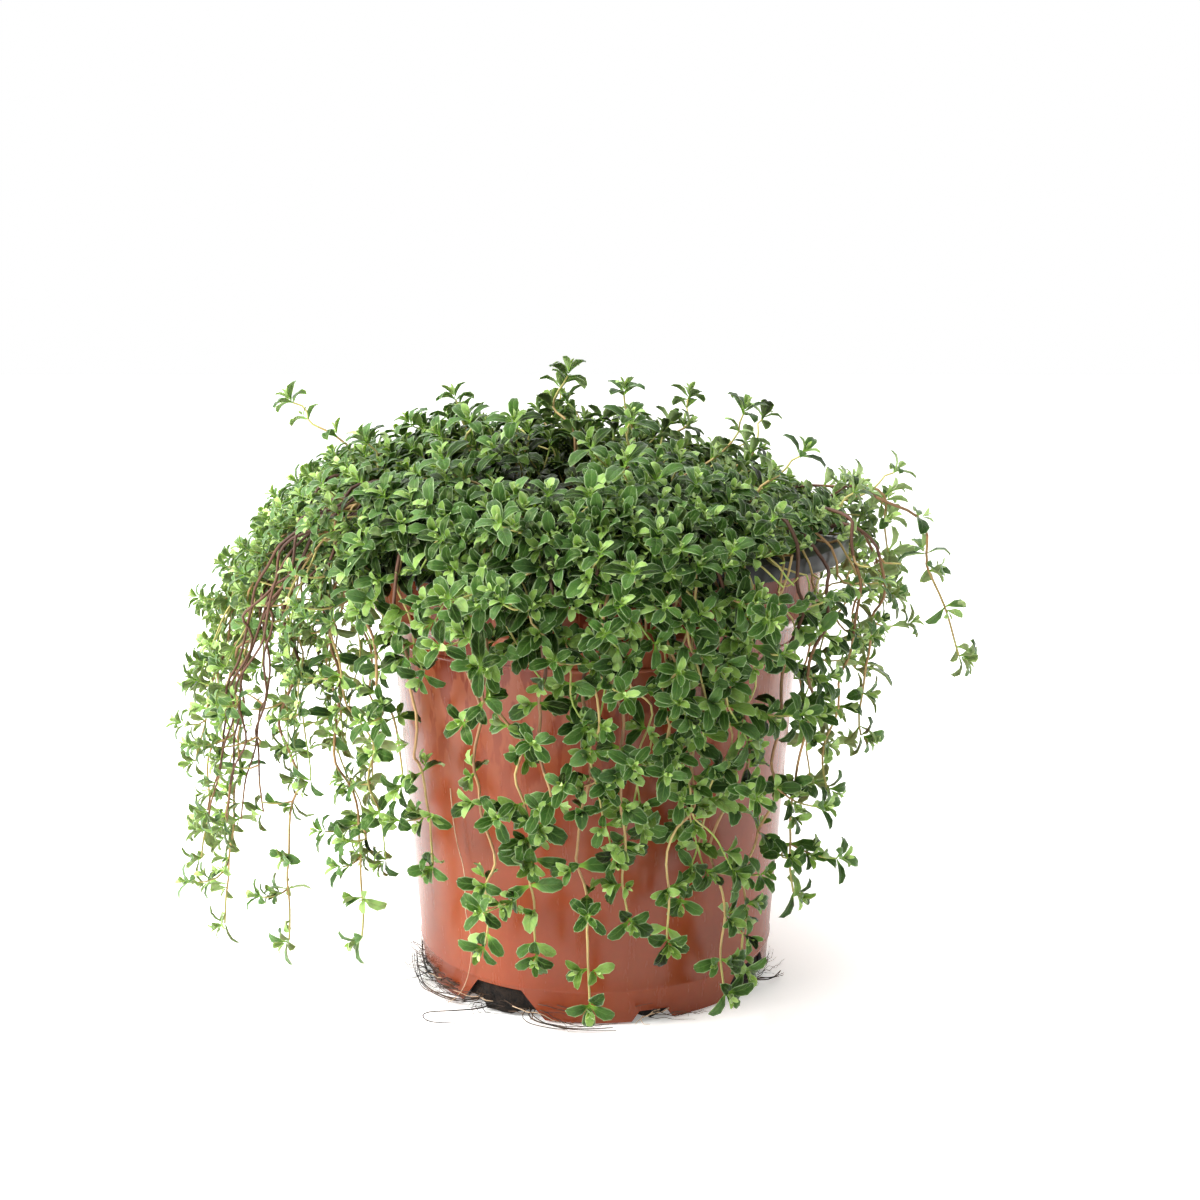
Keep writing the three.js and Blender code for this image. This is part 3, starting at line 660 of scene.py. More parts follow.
draw = random.Random(5)
bm = empty_mesh()
for k, strand in enumerate(ROOTS):
    lay_tube(bm, evenly(rounded([polar(*point) for point in strand]), 1.5), (0.45, 0.22))
    for _ in range(0 if k == LOOP else 3):
        loose = []
        for azimuth, radius, z in strand:
            azimuth, radius = azimuth + draw.uniform(-2, 2), radius + draw.uniform(0, 1.5)
            loose.append(polar(azimuth, radius, max(0.3, z + draw.uniform(-0.4, 1.2))))
        lay_tube(bm, evenly(rounded(loose), 1.5), (0.3, 0.14))
for azimuth, count, drift in FRINGE:
    for _ in range(count):
        start = azimuth + draw.uniform(-12, 12)
        path = wander(draw, start, draw.uniform(0.4, 5), draw.uniform(8, 24), drift)
        lay_tube(bm, path, (draw.uniform(0.12, 0.26), 0.08))
root_fringe = finished("root_fringe", bm, [root_skin], "soil")

bm = empty_mesh()
lay_tube(bm, evenly(rounded([polar(*point) for point in THREAD]), 1.2), (0.3, 0.16))
for azimuth in (-33, -26, 20, 23, -58):
    lay_tube(bm, wander(draw, azimuth, 3, 16, draw.choice((-70, 70))), (0.3, 0.15))
thread_root = finished("thread_root", bm, [pale_root], "soil")
print("roots:", len(root_fringe.data.polygons), "faces and", len(thread_root.data.polygons), "of pale ones")

# %% [markdown]
# ## The leaf blade and the stem skin
#
# A thyme leaf is 4 to 8 mm long, leathery and slightly shiny. It is deep green
# with a paler midrib, faint side veins and a thin whitish rim of short hairs.
# Young leaves are bright yellow-green, and the underside is a dull grey-green.
# The material first finds its sample on the sheet from the UV place, and how far
# along and across the blade the place is.

# %% Read the sheet
leaf_blade, tree, shader = new_material("thyme_leaf_blade")
sheet = add(tree, "UVMap", uv_map=SHEET)
place = add(tree, "SeparateXYZ", sheet)
columns = add(tree, "Math", place.outputs["X"], SHEET_COLUMNS, operation="MULTIPLY")
rows = add(tree, "Math", place.outputs["Y"], SHEET_ROWS, operation="MULTIPLY")
column, row = [add(tree, "Math", value, operation="FLOOR") for value in (columns, rows)]
in_column, in_row = [add(tree, "Math", value, operation="FRACT") for value in (columns, rows)]
pairs = add(tree, "Math", column, 0.5, operation="MULTIPLY")
age = add(tree, "Math", add(tree, "Math", pairs, operation="FLOOR"), AGES - 1, operation="DIVIDE")
under = add(tree, "Math", add(tree, "Math", pairs, operation="FRACT"), 2, operation="MULTIPLY")
tone = add(tree, "Math", row, TONES - 1, operation="DIVIDE")
from_middle = add(tree, "Math", in_column, 0.5, operation="SUBTRACT")
across = add(tree, "Math", add(tree, "Math", from_middle, operation="ABSOLUTE"), 0.44, operation="DIVIDE")
along = add(tree, "MapRange", in_row, 0.04, 0.96)
print("the sheet has", SHEET_COLUMNS, "columns and", SHEET_ROWS, "rows")

# %% [markdown]
# Age picks the green, from the deep green of old leaves to the lime of young ones.
# Tone makes it darker or lighter, greyer and a little yellower. The tone is partly
# random and partly painted light: painted shade on leaves deep in the cushion or
# against the pot, and painted brightness on strands far out on either side. A fine
# mottling keeps a large leaf from looking like a flat chip of paint.

# %% Mix the leaf's green
green = add(tree, "ValToRGB", age, ramp=((0, "#0D2303"), (0.4, "#193A08"), (0.72, "#30590E"), (1, "#84AE34")))
lightness = add(tree, "MapRange", tone, To_Min=0.04, To_Max=1.62)
hue = add(tree, "MapRange", tone, To_Min=0.498, To_Max=0.492)
richness = add(tree, "MapRange", tone, To_Min=0.98, To_Max=0.73)
toned = add(tree, "HueSaturation", Color=green, Value=lightness, Hue=hue, Saturation=richness)
mottle = add(tree, "TexNoise", sheet, Scale=60, Detail=3).outputs["Color"]
mottled = add(tree, "Mix", 0.22, toned, mottle, data_type="RGBA", blend_type="SOFT_LIGHT")
print("leaf greens:", AGES, "ages in", TONES, "tones")

# %% [markdown]
# Then the parts of the leaf are painted one over another. Rims, stalks and the
# pale underside are dimmed on dark tones, as painted shade for leaves that lie deep
# in the cushion. The veins are sunk a little with a bump, and some light passes
# through the thin blade.

# %% Paint the parts of a leaf
rim = add(tree, "MapRange", across, 0.77, 1.05, interpolation_type="SMOOTHSTEP")
tip = add(tree, "MapRange", along, 0.93, 0.985, interpolation_type="SMOOTHSTEP")
# painted shade: rims and stalks are dimmed on dark tones
lit = add(tree, "MapRange", tone, 0, 0.45, 0.22, 1)
edge = add(tree, "Math", add(tree, "Math", rim, tip, operation="MAXIMUM"), lit, operation="MULTIPLY")
rib = add(tree, "MapRange", across, 0.13, 0.04, interpolation_type="SMOOTHSTEP")
rib_fade = add(tree, "MapRange", along, To_Min=1, To_Max=0.25)
midrib = add(tree, "Math", rib, rib_fade, operation="MULTIPLY")
climb = add(tree, "Math", along, 5.5, operation="MULTIPLY")
slant = add(tree, "Math", climb, add(tree, "Math", across, 1.5, operation="MULTIPLY"), operation="SUBTRACT")
wave = add(tree, "Math", slant, 0.5, operation="PINGPONG")
side_vein = add(tree, "MapRange", wave, 0.13, 0, interpolation_type="SMOOTHSTEP")
# painted shade: the underside's pale colour is weaker on dark tones
paleness = add(tree, "MapRange", tone, To_Min=0.2, To_Max=0.95)
stalk = add(tree, "MapRange", along, 0.36, 0.06, 0, 0.85, interpolation_type="SMOOTHSTEP")

paint = mottled
for part, share, code in (
    (under, paleness, "#93A472"),  # the dull underside
    (side_vein, 0.07, "#6F9150"),  # faint side veins
    (midrib, 0.42, "#6E9248"),  # the paler midrib
    (edge, 0.44, "#B6CE9E"),  # the whitish rim of short hairs
    (stalk, lit, "#7DA43C"),  # the yellow-green stalk
):
    cover = add(tree, "Math", part, share, operation="MULTIPLY")
    paint = add(tree, "Mix", cover, paint, linear(code), data_type="RGBA")
roughness = add(tree, "MapRange", under, To_Min=0.3, To_Max=0.65)
veins = add(tree, "Math", midrib, side_vein, operation="MAXIMUM")
grooves = add(tree, "Math", veins, -1, operation="MULTIPLY")
relief = add(tree, "Bump", Strength=0.5, Distance=0.15 * MM, Height=grooves)
fill(tree, shader, Base_Color=paint, Roughness=roughness, Normal=relief, IOR=1.42)
fill(tree, shader, Specular_IOR_Level=0.2, Specular_Tint=linear("#D6E892"))
LIGHT_REACH = (0.55 * MM, 0.8 * MM, 0.2 * MM)  # how far red, green and blue light travel inside
fill(tree, shader, Subsurface_Weight=0.2, Subsurface_Radius=LIGHT_REACH, Subsurface_Scale=1)
print("leaf finish:", leaf_blade.name, "with", len(tree.nodes), "nodes")

# %% [markdown]
# A stem takes its colour from its age alone: red-brown wood, straw, then green.
# Fine streaks run along it, as its fibres do.

# %% Make the stem's finish
stem_skin, tree, shader = new_material("thyme_stem_skin")
sheet = add(tree, "UVMap", uv_map=SHEET)
columns = add(tree, "Math", add(tree, "SeparateXYZ", sheet).outputs["X"], AGES, operation="MULTIPLY")
age = add(tree, "Math", add(tree, "Math", columns, operation="FLOOR"), AGES - 1, operation="DIVIDE")
wood_to_green = ((0, "#33211A"), (0.3, "#5E4030"), (0.55, "#9C7A52"), (0.8, "#B3A066"), (1, "#98AE55"))
bark = add(tree, "ValToRGB", age, ramp=wood_to_green)
fibres = add(tree, "Mapping", sheet, Scale=(6, 1, 1))
streaks = add(tree, "TexNoise", fibres, Scale=40, Detail=4).outputs["Color"]
streaked = add(tree, "Mix", 0.5, bark, streaks, data_type="RGBA", blend_type="SOFT_LIGHT")
fill(tree, shader, Base_Color=streaked, Roughness=0.6, Specular_IOR_Level=0.3)
print("stem finish:", stem_skin.name)

# %% [markdown]
# ## Leaf blanks
#
# A leaf starts as a grid of 4 by 5 faces. Its rows are narrowed to the outline of
# a thyme leaf: a short stalk, widest past the middle, a blunt point. Each half
# swells beside the midrib and rolls down at its edge, which is what catches the
# light, and each row turns a little further, which arches the blade. A copy turned
# over is the underside, a little lower, so the two close into a thin shell. Small
# leaves need only 2 faces across. Three small and three large shapes will do when
# each is placed at its own size and angle.

# %% Shape the leaf blanks
LEAF_ROWS = [0, 0.16, 0.38, 0.64, 0.87, 1]  # share of the length
LEAF_WIDTHS = [0.13, 0.3, 0.86, 1, 0.62, 0]  # share of the full width
LEAF_SLIMNESS, LEAF_THICKNESS = 0.43, 0.045  # width and thickness as shares of the length
LEAF_SWELL = 0.2  # share of the width
SMALL_LEAVES = [(16, 34, 0.8, 1), (48, 20, 0.96, 1), (92, 12, 1, 1)]  # arch, fold, width, faces across a half
LARGE_LEAVES = [(78, 12, 1, 2), (108, 7, 0.97, 2), (145, 2, 0.9, 2)]
LEAF_KINDS = SMALL_LEAVES + LARGE_LEAVES
leaf_blanks = {}


def leaf_blank(kind, age_column, tone_row):
    """A leaf one unit long up the Y axis with its upper side facing Z."""
    key = (kind, age_column, tone_row)
    if key in leaf_blanks:
        return leaf_blanks[key]
    arch, fold, slim, across = LEAF_KINDS[kind]
    rows = len(LEAF_ROWS) - 1
    bm = empty_mesh()
    bmesh.ops.create_grid(bm, x_segments=2 * across, y_segments=rows, size=0.5)
    uv = bm.loops.layers.uv.active
    spots = {v: (round(v.co.x * 2 * across) / across, round((v.co.y + 0.5) * rows)) for v in bm.verts}
    for face in bm.faces:
        for loop in face.loops:
            column, row = spots[loop.vert]
            loop[uv].uv = (0.06 + 0.88 * (column + 1) / 2, 0.04 + 0.92 * LEAF_ROWS[row])
    middle, half = [Vector((0, 0, 0))], LEAF_SLIMNESS * slim / 2
    turns = [math.radians(arch) * (share**1.6 - 0.25) for share in LEAF_ROWS]
    for a, b, turn in zip(LEAF_ROWS, LEAF_ROWS[1:], turns):
        middle.append(middle[-1] + Vector((0, math.cos(turn), -math.sin(turn))) * (b - a))
    for vert, (column, row) in spots.items():
        wide = half * LEAF_WIDTHS[row]
        out = abs(column)
        lift = wide * (out * math.tan(math.radians(fold)) + 4 * LEAF_SWELL * out * (1 - out))
        normal = Vector((0, math.sin(turns[row]), math.cos(turns[row])))
        vert.co = middle[row] + Vector((column * wide, 0, 0)) + normal * lift
    under = bmesh.ops.duplicate(bm, geom=[*bm.verts, *bm.edges, *bm.faces])
    flipped = [g for g in under["geom"] if isinstance(g, bmesh.types.BMFace)]
    bmesh.ops.reverse_faces(bm, faces=flipped)
    for vert, copy in list(under["vert_map"].items()):
        if vert in spots and abs(spots[vert][0]) < 1 and 0 < spots[vert][1] < rows:
            copy.co.z -= LEAF_THICKNESS
    flipped = set(flipped)
    for face in bm.faces:
        face.smooth = True
        face.material_index = 1
        side = 1 if face in flipped else 0
        for loop in face.loops:
            x, y = loop[uv].uv
            loop[uv].uv = on_sheet(2 * age_column + side + x, tone_row + y)
    bmesh.ops.remove_doubles(bm, verts=bm.verts, dist=0.001)
    for edge in bm.edges:
        edge.smooth = len({face in flipped for face in edge.link_faces}) == 1
    leaf_blanks[key] = to_mesh("leaf_blank", bm)
    return leaf_blanks[key]


blank = leaf_blank(3, 3, 3)
print("a leaf blank has", len(blank.polygons), "faces and", len(blank.vertices), "points")

# %% [markdown]
# ## Keeping clear of the pot
#
# Stems lie against the pot but don't pass through it, and nothing sinks into the
# table. These small functions know where the plastic is. One says whether a point
# is free, and another moves a point of a stem out to where it is.

# %% Where a stem may be
STEM_GAP, MAIN_GAP = 0.9, 0.7  # a main stem lies closer


def wall_at(z):
    """The radius that has to be cleared outside the pot at this height."""
    if z > POT_HEIGHT - LIP_DROP - 1:
        return RIM_RADIUS
    return COLLAR_RADIUS + 0.3 if z > SHOULDER_Z - 1 else body_radius(z)


def is_free(point, gap):
    """True where a point keeps its gap to the ground, the wall and the compost."""
    if point.z < gap + 0.3:
        return False
    if point.z > POT_HEIGHT + gap or radius_of(point) > wall_at(point.z) + gap:
        return True
    return radius_of(point) < COLLAR_FOOT_RADIUS - 2 and point.z > SOIL_Z + 0.8


def freed(point, gap=STEM_GAP):
    """The point itself if it is free, or the nearest place over the rim or outside the wall."""
    radius = radius_of(point)
    if is_free(point, gap) or radius < COLLAR_FOOT_RADIUS - 3:
        return point
    point = point.copy()
    if point.z > POT_HEIGHT - LIP_DROP and radius < RIM_RADIUS - 1:
        point.z = POT_HEIGHT + gap
    elif radius < wall_at(point.z) + gap:
        grow = (wall_at(point.z) + gap) / max(radius, 1e-3)
        point.x, point.y = point.x * grow, point.y * grow
    point.z = max(point.z, gap + 0.4)
    return point


def outward(point):
    """The level direction away from the middle of the pot."""
    flat = Vector((point.x, point.y, 0))
    return flat.normalized() if flat.length > 4 else Vector((0, -1, 0))


def to_light(point):
    """Where leaves and young shoots turn to: up on top of the cushion, outwards beside the pot."""
    low = clamp((SOIL_Z + 22 - point.z) / 30)
    return (UP * (1 - 0.55 * low) + outward(point) * (0.35 + 0.55 * low)).normalized()


print("the wall half way up the pot is at", round(wall_at(POT_HEIGHT / 2), 1), "mm")

# %% [markdown]
# ## The cushion's form
#
# The foliage as a whole is a low dome with soft bumps and a hollow in its middle.
# A point's depth under the dome, or how close it hangs against the pot, says how
# shaded it is, and its leaves take a darker tone there: painted shade, which also
# darkens the hollow. On the left a bundle of bare old wood hangs beside one of the
# strands, and on the right the black lip shows, so leaves are missing along both.

# %% Where the cushion ends and leaves are missing
DOME_TOP, HOLLOW_DEPTH = 144, 17
WOODY = 29  # the strand that the old wood hangs beside, counted from 0
OLD_WOOD = [  # azimuth, radius, height
    (304, 34, 110), (303, 49, 125), (301, 62, 129), (295, 75, 121),
    (290, 84, 101), (287, 89, 77), (285, 92, 54), (284, 93, 40),
]
WOOD_LINE = evenly(rounded([polar(*spot) for spot in OLD_WOOD[2:]]), 5)


def dome(point):
    """The height of the dome over a place. It falls off beyond the rim and is lower on the right."""
    bumps = 6 * noise.noise(Vector((point.x, point.y, 9)) * 0.045)
    return DOME_TOP - 0.0066 * max(0, radius_of(point) - 20) ** 2 - 0.3 * max(0, point.x - 8) + bumps


def cushion_top(point):
    """How high the foliage stands over a place: the dome, with its hollow."""
    return dome(point) - HOLLOW_DEPTH * math.exp(-((point.x - 1) ** 2 + (point.y - 3) ** 2) / 200)


def shaded(point):
    """How deep a place lies inside the foliage, or how close it hangs against the pot, from 0 to 1: the
    painted shade its leaves take.
    """
    radius = radius_of(point)
    if point.z < POT_HEIGHT - 6 or radius > RIM_RADIUS + 4:
        if point.z < 50 or radius > RIM_RADIUS + 14:
            return 0
        return 0.45 * clamp((wall_at(point.z) + 11 - radius) / 8)
    return clamp((dome(point) - point.z - 3) / 10)


def rubbed_off(point):
    """True where stems have lost their leaves: along the old wood, and beside the lip at the front right."""
    if point.x < -40 and point.y < 0:
        return any((point - spot).length < 6 for spot in WOOD_LINE)
    level = point.z - 0.19 * (radius_of(point) - RIM_RADIUS)  # from above, what is further out looks lower
    beside_lip = radius_of(point) > COLLAR_RADIUS and 28 < azimuth_of(point) < 80
    return beside_lip and POT_HEIGHT - 8 < level < POT_HEIGHT + 1.5


print("the hollow's floor is at", round(cushion_top(Vector((1, 3, 0)))), "mm")

# %% [markdown]
# ## How thyme grows
#
# Leaves sit in opposite pairs, and each pair is turned a quarter from the pair
# below. In the angle over nearly every leaf sits a bud with four or six small
# leaves, and some buds grow into side shoots. The gaps between pairs shorten
# towards the tip, where the last pairs close up into a little rosette. We start
# with one leaf: it turns its upper side to the light, and its place decides its
# sample on the sheet. Deep in the foliage a leaf takes painted shade. Strands far
# out on either side hang in bright light, and their leaves are painted paler and a
# little younger: painted light.

# %% Place a leaf
TONE, PAINTED_SHADE, PAINTED_LIGHT, TONE_SPREAD = 3.3, 3.4, 2.8, 1.3  # mean, the shifts for painted shade and painted light, and the spread, in rows of the sheet
LONGEST_SMALL, YOUNG = 4.8, 0.82  # small blanks do up to this length; from this age half are folded up


def set_leaf(bm, draw, spot, way, light, length, age):
    """Puts one leaf at a spot. It points along way and turns its upper side to the light."""
    way = way.normalized()
    tip = spot + way * length
    if rubbed_off(spot) or rubbed_off(tip):
        return
    if not is_free(tip, 0.5):
        out = outward(spot)
        way = (way + out * (0.5 - min(0, 2 * way.dot(out))) + UP * (0.8 if spot.z < 8 else 0)).normalized()
        if not is_free(spot + way * length, 0.3):
            return
    face = light - way * light.dot(way)
    if face.length < 0.2:
        face = way.orthogonal()
    face.normalize()
    side = way.cross(face)
    if length < LONGEST_SMALL:
        kind = draw.choice((0, 0, 1, 2) if age > YOUNG else (1, 2, 2))
    else:
        kind = draw.choice((3, 3, 4, 4, 5))
    # painted light: leaves far out on either side are painted paler and younger
    pale = clamp(max((-spot.x - 46) / 25, (spot.x - 44) / 30))
    column = min(AGES - 1, max(0, int((age + 0.06 * pale) * AGES + draw.uniform(-0.6, 0.6))))
    # painted shade and painted light: the tone is darker deep in the foliage and paler on strands far out
    tone = min(TONES - 1, max(0, round(draw.gauss(TONE - PAINTED_SHADE * shaded(spot) + PAINTED_LIGHT * pale, TONE_SPREAD))))
    broad = length * draw.uniform(0.88, 1.1)
    verts, _ = paste(bm, leaf_blank(kind, column, tone))
    turn = Matrix((side * broad, way * length, face * length)).transposed().to_4x4()
    matrix = Matrix.Translation(spot) @ turn
    for vert in verts:
        vert.co = matrix @ vert.co


def ring_of(way, turn):
    """A direction square to way, at an angle round it."""
    side = way.orthogonal().normalized()
    return Matrix.Rotation(turn, 3, way) @ side


def rosette(bm, draw, spot, way, size, turn, pairs=4):
    """The closed-up pairs at the tip of a shoot, each smaller, steeper and younger than the last."""
    way = way.normalized()
    light = (to_light(spot) + way * 0.9).normalized()
    for k in range(4 - pairs, 4):
        lean = math.radians((82, 68, 46, 20)[k] + draw.uniform(-9, 9))
        length = size * (1, 0.92, 0.62, 0.36)[k]
        age = (0.5, 0.62, 0.8, 0.97)[k]
        for flip in (0, math.pi):
            side = ring_of(way, turn + k * math.pi / 2 + flip + draw.uniform(-0.2, 0.2))
            go = side * math.sin(lean) + way * math.cos(lean)
            set_leaf(bm, draw, spot + way * (0.7 * k), go, light, length * draw.uniform(0.88, 1.1), age)


print("leaf tones from 0 to", TONES - 1, "with a mean of", TONE)

# %% [markdown]
# Two small functions bend stems. A side shoot turns up to the light and stops at
# the cushion's top. A long stem makes a small bend at each joint, which a smooth
# noise along its path gives.

# %% Bend a stem
JOINT_SWAY = 5.5


def bending(spot, way, goal, length, steps, proud):
    """A short path that starts along way and turns towards goal, and stops rising at the cushion's top."""
    path, way, goal = [spot], way.normalized(), goal.normalized()
    for k in range(1, steps + 1):
        heading = way.lerp(goal, k / steps).normalized()
        point = path[-1] + heading * (length / steps)
        point.z = min(point.z, max(cushion_top(point) + proud, spot.z - 0.3 * length))
        path.append(point)
    return [path[0], *[freed(p, 0.6) for p in path[1:]]]


def meander(draw, path):
    """The path with small bends, as a stem makes at each joint. Its two ends stay where they are."""
    seed, last = draw.uniform(0, 1000), len(path) - 1
    bent = []
    for k, point in enumerate(path):
        sway = Vector([noise.noise(Vector((seed, k * 0.19, 17 * axis))) for axis in range(3)])
        shift = sway * JOINT_SWAY * min(1, 4 * k / last, 4 * (last - k) / last)
        bent.append(freed(point + shift, 0.7))
    return bent


print("a long stem sways by up to", JOINT_SWAY, "mm")

# %% [markdown]
# A stem is a tube with leaves along it. Some stretches have lost their leaves,
# towards the tip the pairs close up, and in some places the function calls itself
# to grow a side shoot.

# %% Grow a stem
STEM_STEP, SHOOT_STEP = 2.6, 1.9  # how far apart the rings of a tube are
CLOSING_LENGTH = 14  # over this length before the tip the pairs close up
LEAF_CHANCE, SHOOT_CHANCE, BUD_CHANCE = 0.93, 0.34, 0.92


def leafy_stem(bm, draw, path, widths, ages, bare, size, bushy, spacing=9.6, gaps=0.2, depth=0):
    """Grows a stem along a path, with its leaves, buds and side shoots. bare is the share without leaves."""
    step = STEM_STEP if depth == 0 else SHOOT_STEP
    path = evenly(path, step)
    if depth == 0:
        path = meander(draw, path)
    lay_tube(bm, path, widths, ages)
    frames = frames_along(path)
    total = step * (len(path) - 1)
    reach, turn, patch = bare * total + draw.uniform(0, 3), draw.uniform(0, math.pi), draw.uniform(0, 1000)
    while reach < total - 1.6:
        lost_leaves = noise.noise(Vector((patch, reach * 0.07, 0))) > gaps
        if depth == 0 and lost_leaves and total - reach > CLOSING_LENGTH:
            reach += spacing
            continue
        share = reach / total
        k = min(len(path) - 1, round(share * (len(path) - 1)))
        spot, (way, side, other) = path[k], frames[k]
        age = ages[0] * 0.5 + (ages[1] - ages[0] * 0.5) * share**1.5
        closing = max(0, 1 - (total - reach) / CLOSING_LENGTH)
        for flip in (0, math.pi):
            out = side * math.cos(turn + flip) + other * math.sin(turn + flip)
            lean = math.radians(82 - 30 * closing + draw.uniform(-16, 14))
            light = (to_light(spot) + way * draw.uniform(0.0, 0.5) + out * 0.2).normalized()
            go = out * math.sin(lean) + way * math.cos(lean) + UP * draw.uniform(-0.25, 0.1)
            if draw.random() < LEAF_CHANCE:
                length = size * draw.uniform(0.78, 1.12) * (1 - 0.3 * closing)
                set_leaf(bm, draw, spot, go, light, length, min(0.8, age))
            luck = draw.random()
            if depth == 0 and luck < bushy * SHOOT_CHANCE and total - reach > 12:
                goal = (to_light(spot) + out * 0.4 + way * 0.3).normalized()
                lively = (out + way * 0.8).normalized()
                length = draw.uniform(5, 15) * min(1, (total - reach) / 30 + 0.4)
                shoot = bending(spot, lively, goal, length, 4, draw.uniform(-5, 5))
                leafy_stem(bm, draw, shoot, (0.6, 0.42), (0.55, 0.95), 0.2, size * 0.86, bushy, 5.6, gaps, 1)
            elif luck < BUD_CHANCE and total - reach > 5:
                bud_way = (out * 0.7 + way * 0.4 + to_light(spot) * 0.8).normalized()
                bud_size = size * draw.uniform(0.7, 1)
                pairs = 3 if draw.random() < 0.3 else 2
                rosette(bm, draw, spot + out * 0.3, bud_way, bud_size, turn + math.pi / 4, pairs)
        turn += math.pi / 2 + draw.uniform(-0.25, 0.25)
        reach += spacing * (1 - 0.45 * closing) * draw.uniform(0.75, 1.2)
    tip_way = frames[-1][0] + to_light(path[-1]) * 0.9
    rosette(bm, draw, path[-1], tip_way, size * draw.uniform(0.8, 1), turn)


print("rings are", STEM_STEP, "mm apart along a stem and", SHOOT_STEP, "mm along a side shoot")

# %% [markdown]
# ## The strands' routes
#
# The CAD model gives each strand a route: up out of the compost, over the rim or
# into the cushion, and out to its tip. The same tables are repeated here, so each
# leafy strand follows the solid that it stands for. They were read off the
# photograph strand by strand, and the back carries on in the same way.

# %% List the strands
TRAILS = [  # azimuth, root radius, crest radius and height, tip radius and height, swing in degrees
    (-50, 44, 62, 120, 63, 60, 3), (-39, 40, 61, 125, 62, 42, 2), (-28, 44, 62, 120, 60, 24, 2),
    (-17, 40, 65, 124, 63, 48, 2), (-8, 44, 66, 120, 61, 24, -1), (1, 40, 66, 124, 60, 12, -1),
    (10, 44, 66, 120, 63, 34, -3), (20, 40, 65, 124, 63, 28, -2), (29, 44, 62, 120, 59, 11, 0),
    (39, 40, 61, 125, 60, 16, 1), (49, 44, 62, 120, 66, 34, -1), (61, 40, 61, 125, 68, 58, -2),
    (74, 44, 62, 120, 70, 66, -2), (85, 40, 61, 128, 94, 84, 0), (97, 44, 61, 121, 71, 76, 0),
    (109, 40, 61, 127, 84, 106, -3), (122, 44, 61, 121, 70, 38, 0), (136, 40, 61, 126, 80, 62, 2),
    (150, 44, 61, 121, 68, 22, -2), (164, 40, 61, 126, 84, 76, 0), (178, 44, 61, 121, 70, 34, 2),
    (192, 40, 61, 126, 82, 58, 0), (206, 44, 61, 121, 70, 16, -2), (219, 40, 61, 127, 90, 74, 2),
    (231, 44, 61, 122, 84, 30, 2), (243, 40, 61, 128, 101, 90, 1), (253, 44, 61, 123, 107, 66, 1),
    (262, 40, 61, 129, 110, 50, 1), (271, 44, 61, 123, 105, 28, 0), (280, 40, 61, 129, 98, 14, -1),
    (289, 44, 61, 122, 82, 13, -2), (299, 40, 61, 125, 66, 16, -2),
]
TUFTS = [  # azimuth, root radius, tip radius and height
    (-103, 30, 83, 147), (98, 30, 80, 129), (-155, 12, 22, 154), (40, 6, 14, 151), (118, 26, 52, 142),
    (-77, 27, 58, 139), (-55, 31, 67, 132), (-34, 27, 58, 138), (-13, 31, 78, 127), (9, 27, 58, 138),
    (31, 31, 77, 127), (54, 27, 59, 138), (77, 31, 66, 127), (143, 31, 68, 133), (168, 27, 60, 139),
    (199, 31, 70, 133), (221, 27, 60, 140), (239, 31, 70, 134), (14, 15, 38, 146), (-52, 16, 40, 145),
    (76, 16, 38, 146), (140, 16, 42, 147), (196, 16, 42, 149), (250, 16, 40, 148),
]
print(len(TRAILS), "trailing strands and", len(TUFTS), "short ones")

# %% [markdown]
# Two cubic curves make a route, one up to the crest and one on to the tip, and a
# slow wave sways it sideways. The wave starts at random, so the small random
# number generator of the CAD source is repeated too.

# %% Repeat the routes of the CAD strands
CREST_AT = 0.3  # share of the route
TRAIL_SWAY, TRAIL_OUTWARDS, OUTWARDS_PER_REACH, TRAIL_FLARE = 3.2, 28, 0.28, 14
TUFT_SWAY, TUFT_CREST, TUFT_RISE = 2, 0.34, 0.62
WORD = 0xFFFFFFFF


def cad_draws(seed):
    """The CAD source's random numbers, which are 32-bit sums and products."""
    state = seed & WORD
    while True:
        state = (state + 0x6D2B79F5) & WORD
        word = ((state ^ (state >> 15)) * (1 | state)) & WORD
        word = ((word + (((word ^ (word >> 7)) * (61 | word)) & WORD)) & WORD) ^ word
        yield ((word ^ (word >> 14)) & WORD) / 2**32


def cubic(ends, t):
    """A cubic from start to end that leaves with slope m0 and arrives with slope m1."""
    start, m0, end, m1 = ends
    there, back = 3 * t**2 - 2 * t**3, t**3 - 2 * t**2 + t
    return start * (1 - there) + m0 * back + end * there + m1 * (t**3 - t**2)


def route(seed, azimuth, swing, sway, radii, heights, points=48):
    """The path of a CAD strand from inside the compost to its tip."""
    draws = cad_draws(seed)
    phase = math.tau * next(draws)
    sway *= 0.6 + 0.8 * next(draws)
    path = []
    for i in range(points + 1):
        t = i / points
        half, part = (0, t / CREST_AT) if t < CREST_AT else (1, (t - CREST_AT) / (1 - CREST_AT))
        side = sway * math.sin(phase + 5 * t) * min(4 * t, 1)
        path.append(polar(azimuth + swing * t, cubic(radii[half], part), cubic(heights[half], part), side))
    return path


def trail_route(i):
    """The route of a long strand, which runs over the rim and hangs down."""
    azimuth, root, crest, crest_z, tip, tip_z, swing = TRAILS[i]
    rise, fall = crest_z - SOIL_Z, crest_z - tip_z
    out = TRAIL_OUTWARDS + OUTWARDS_PER_REACH * max(tip - crest, 0)
    radii = [(root, 0, crest, 0.9 * out), (crest, 2.4 * out, tip, TRAIL_FLARE)]
    heights = [(SOIL_Z, 1.5 * rise, crest_z, 0), (crest_z, 0, tip_z, -0.95 * fall)]
    return route(100 + i, azimuth, swing, TRAIL_SWAY, radii, heights)


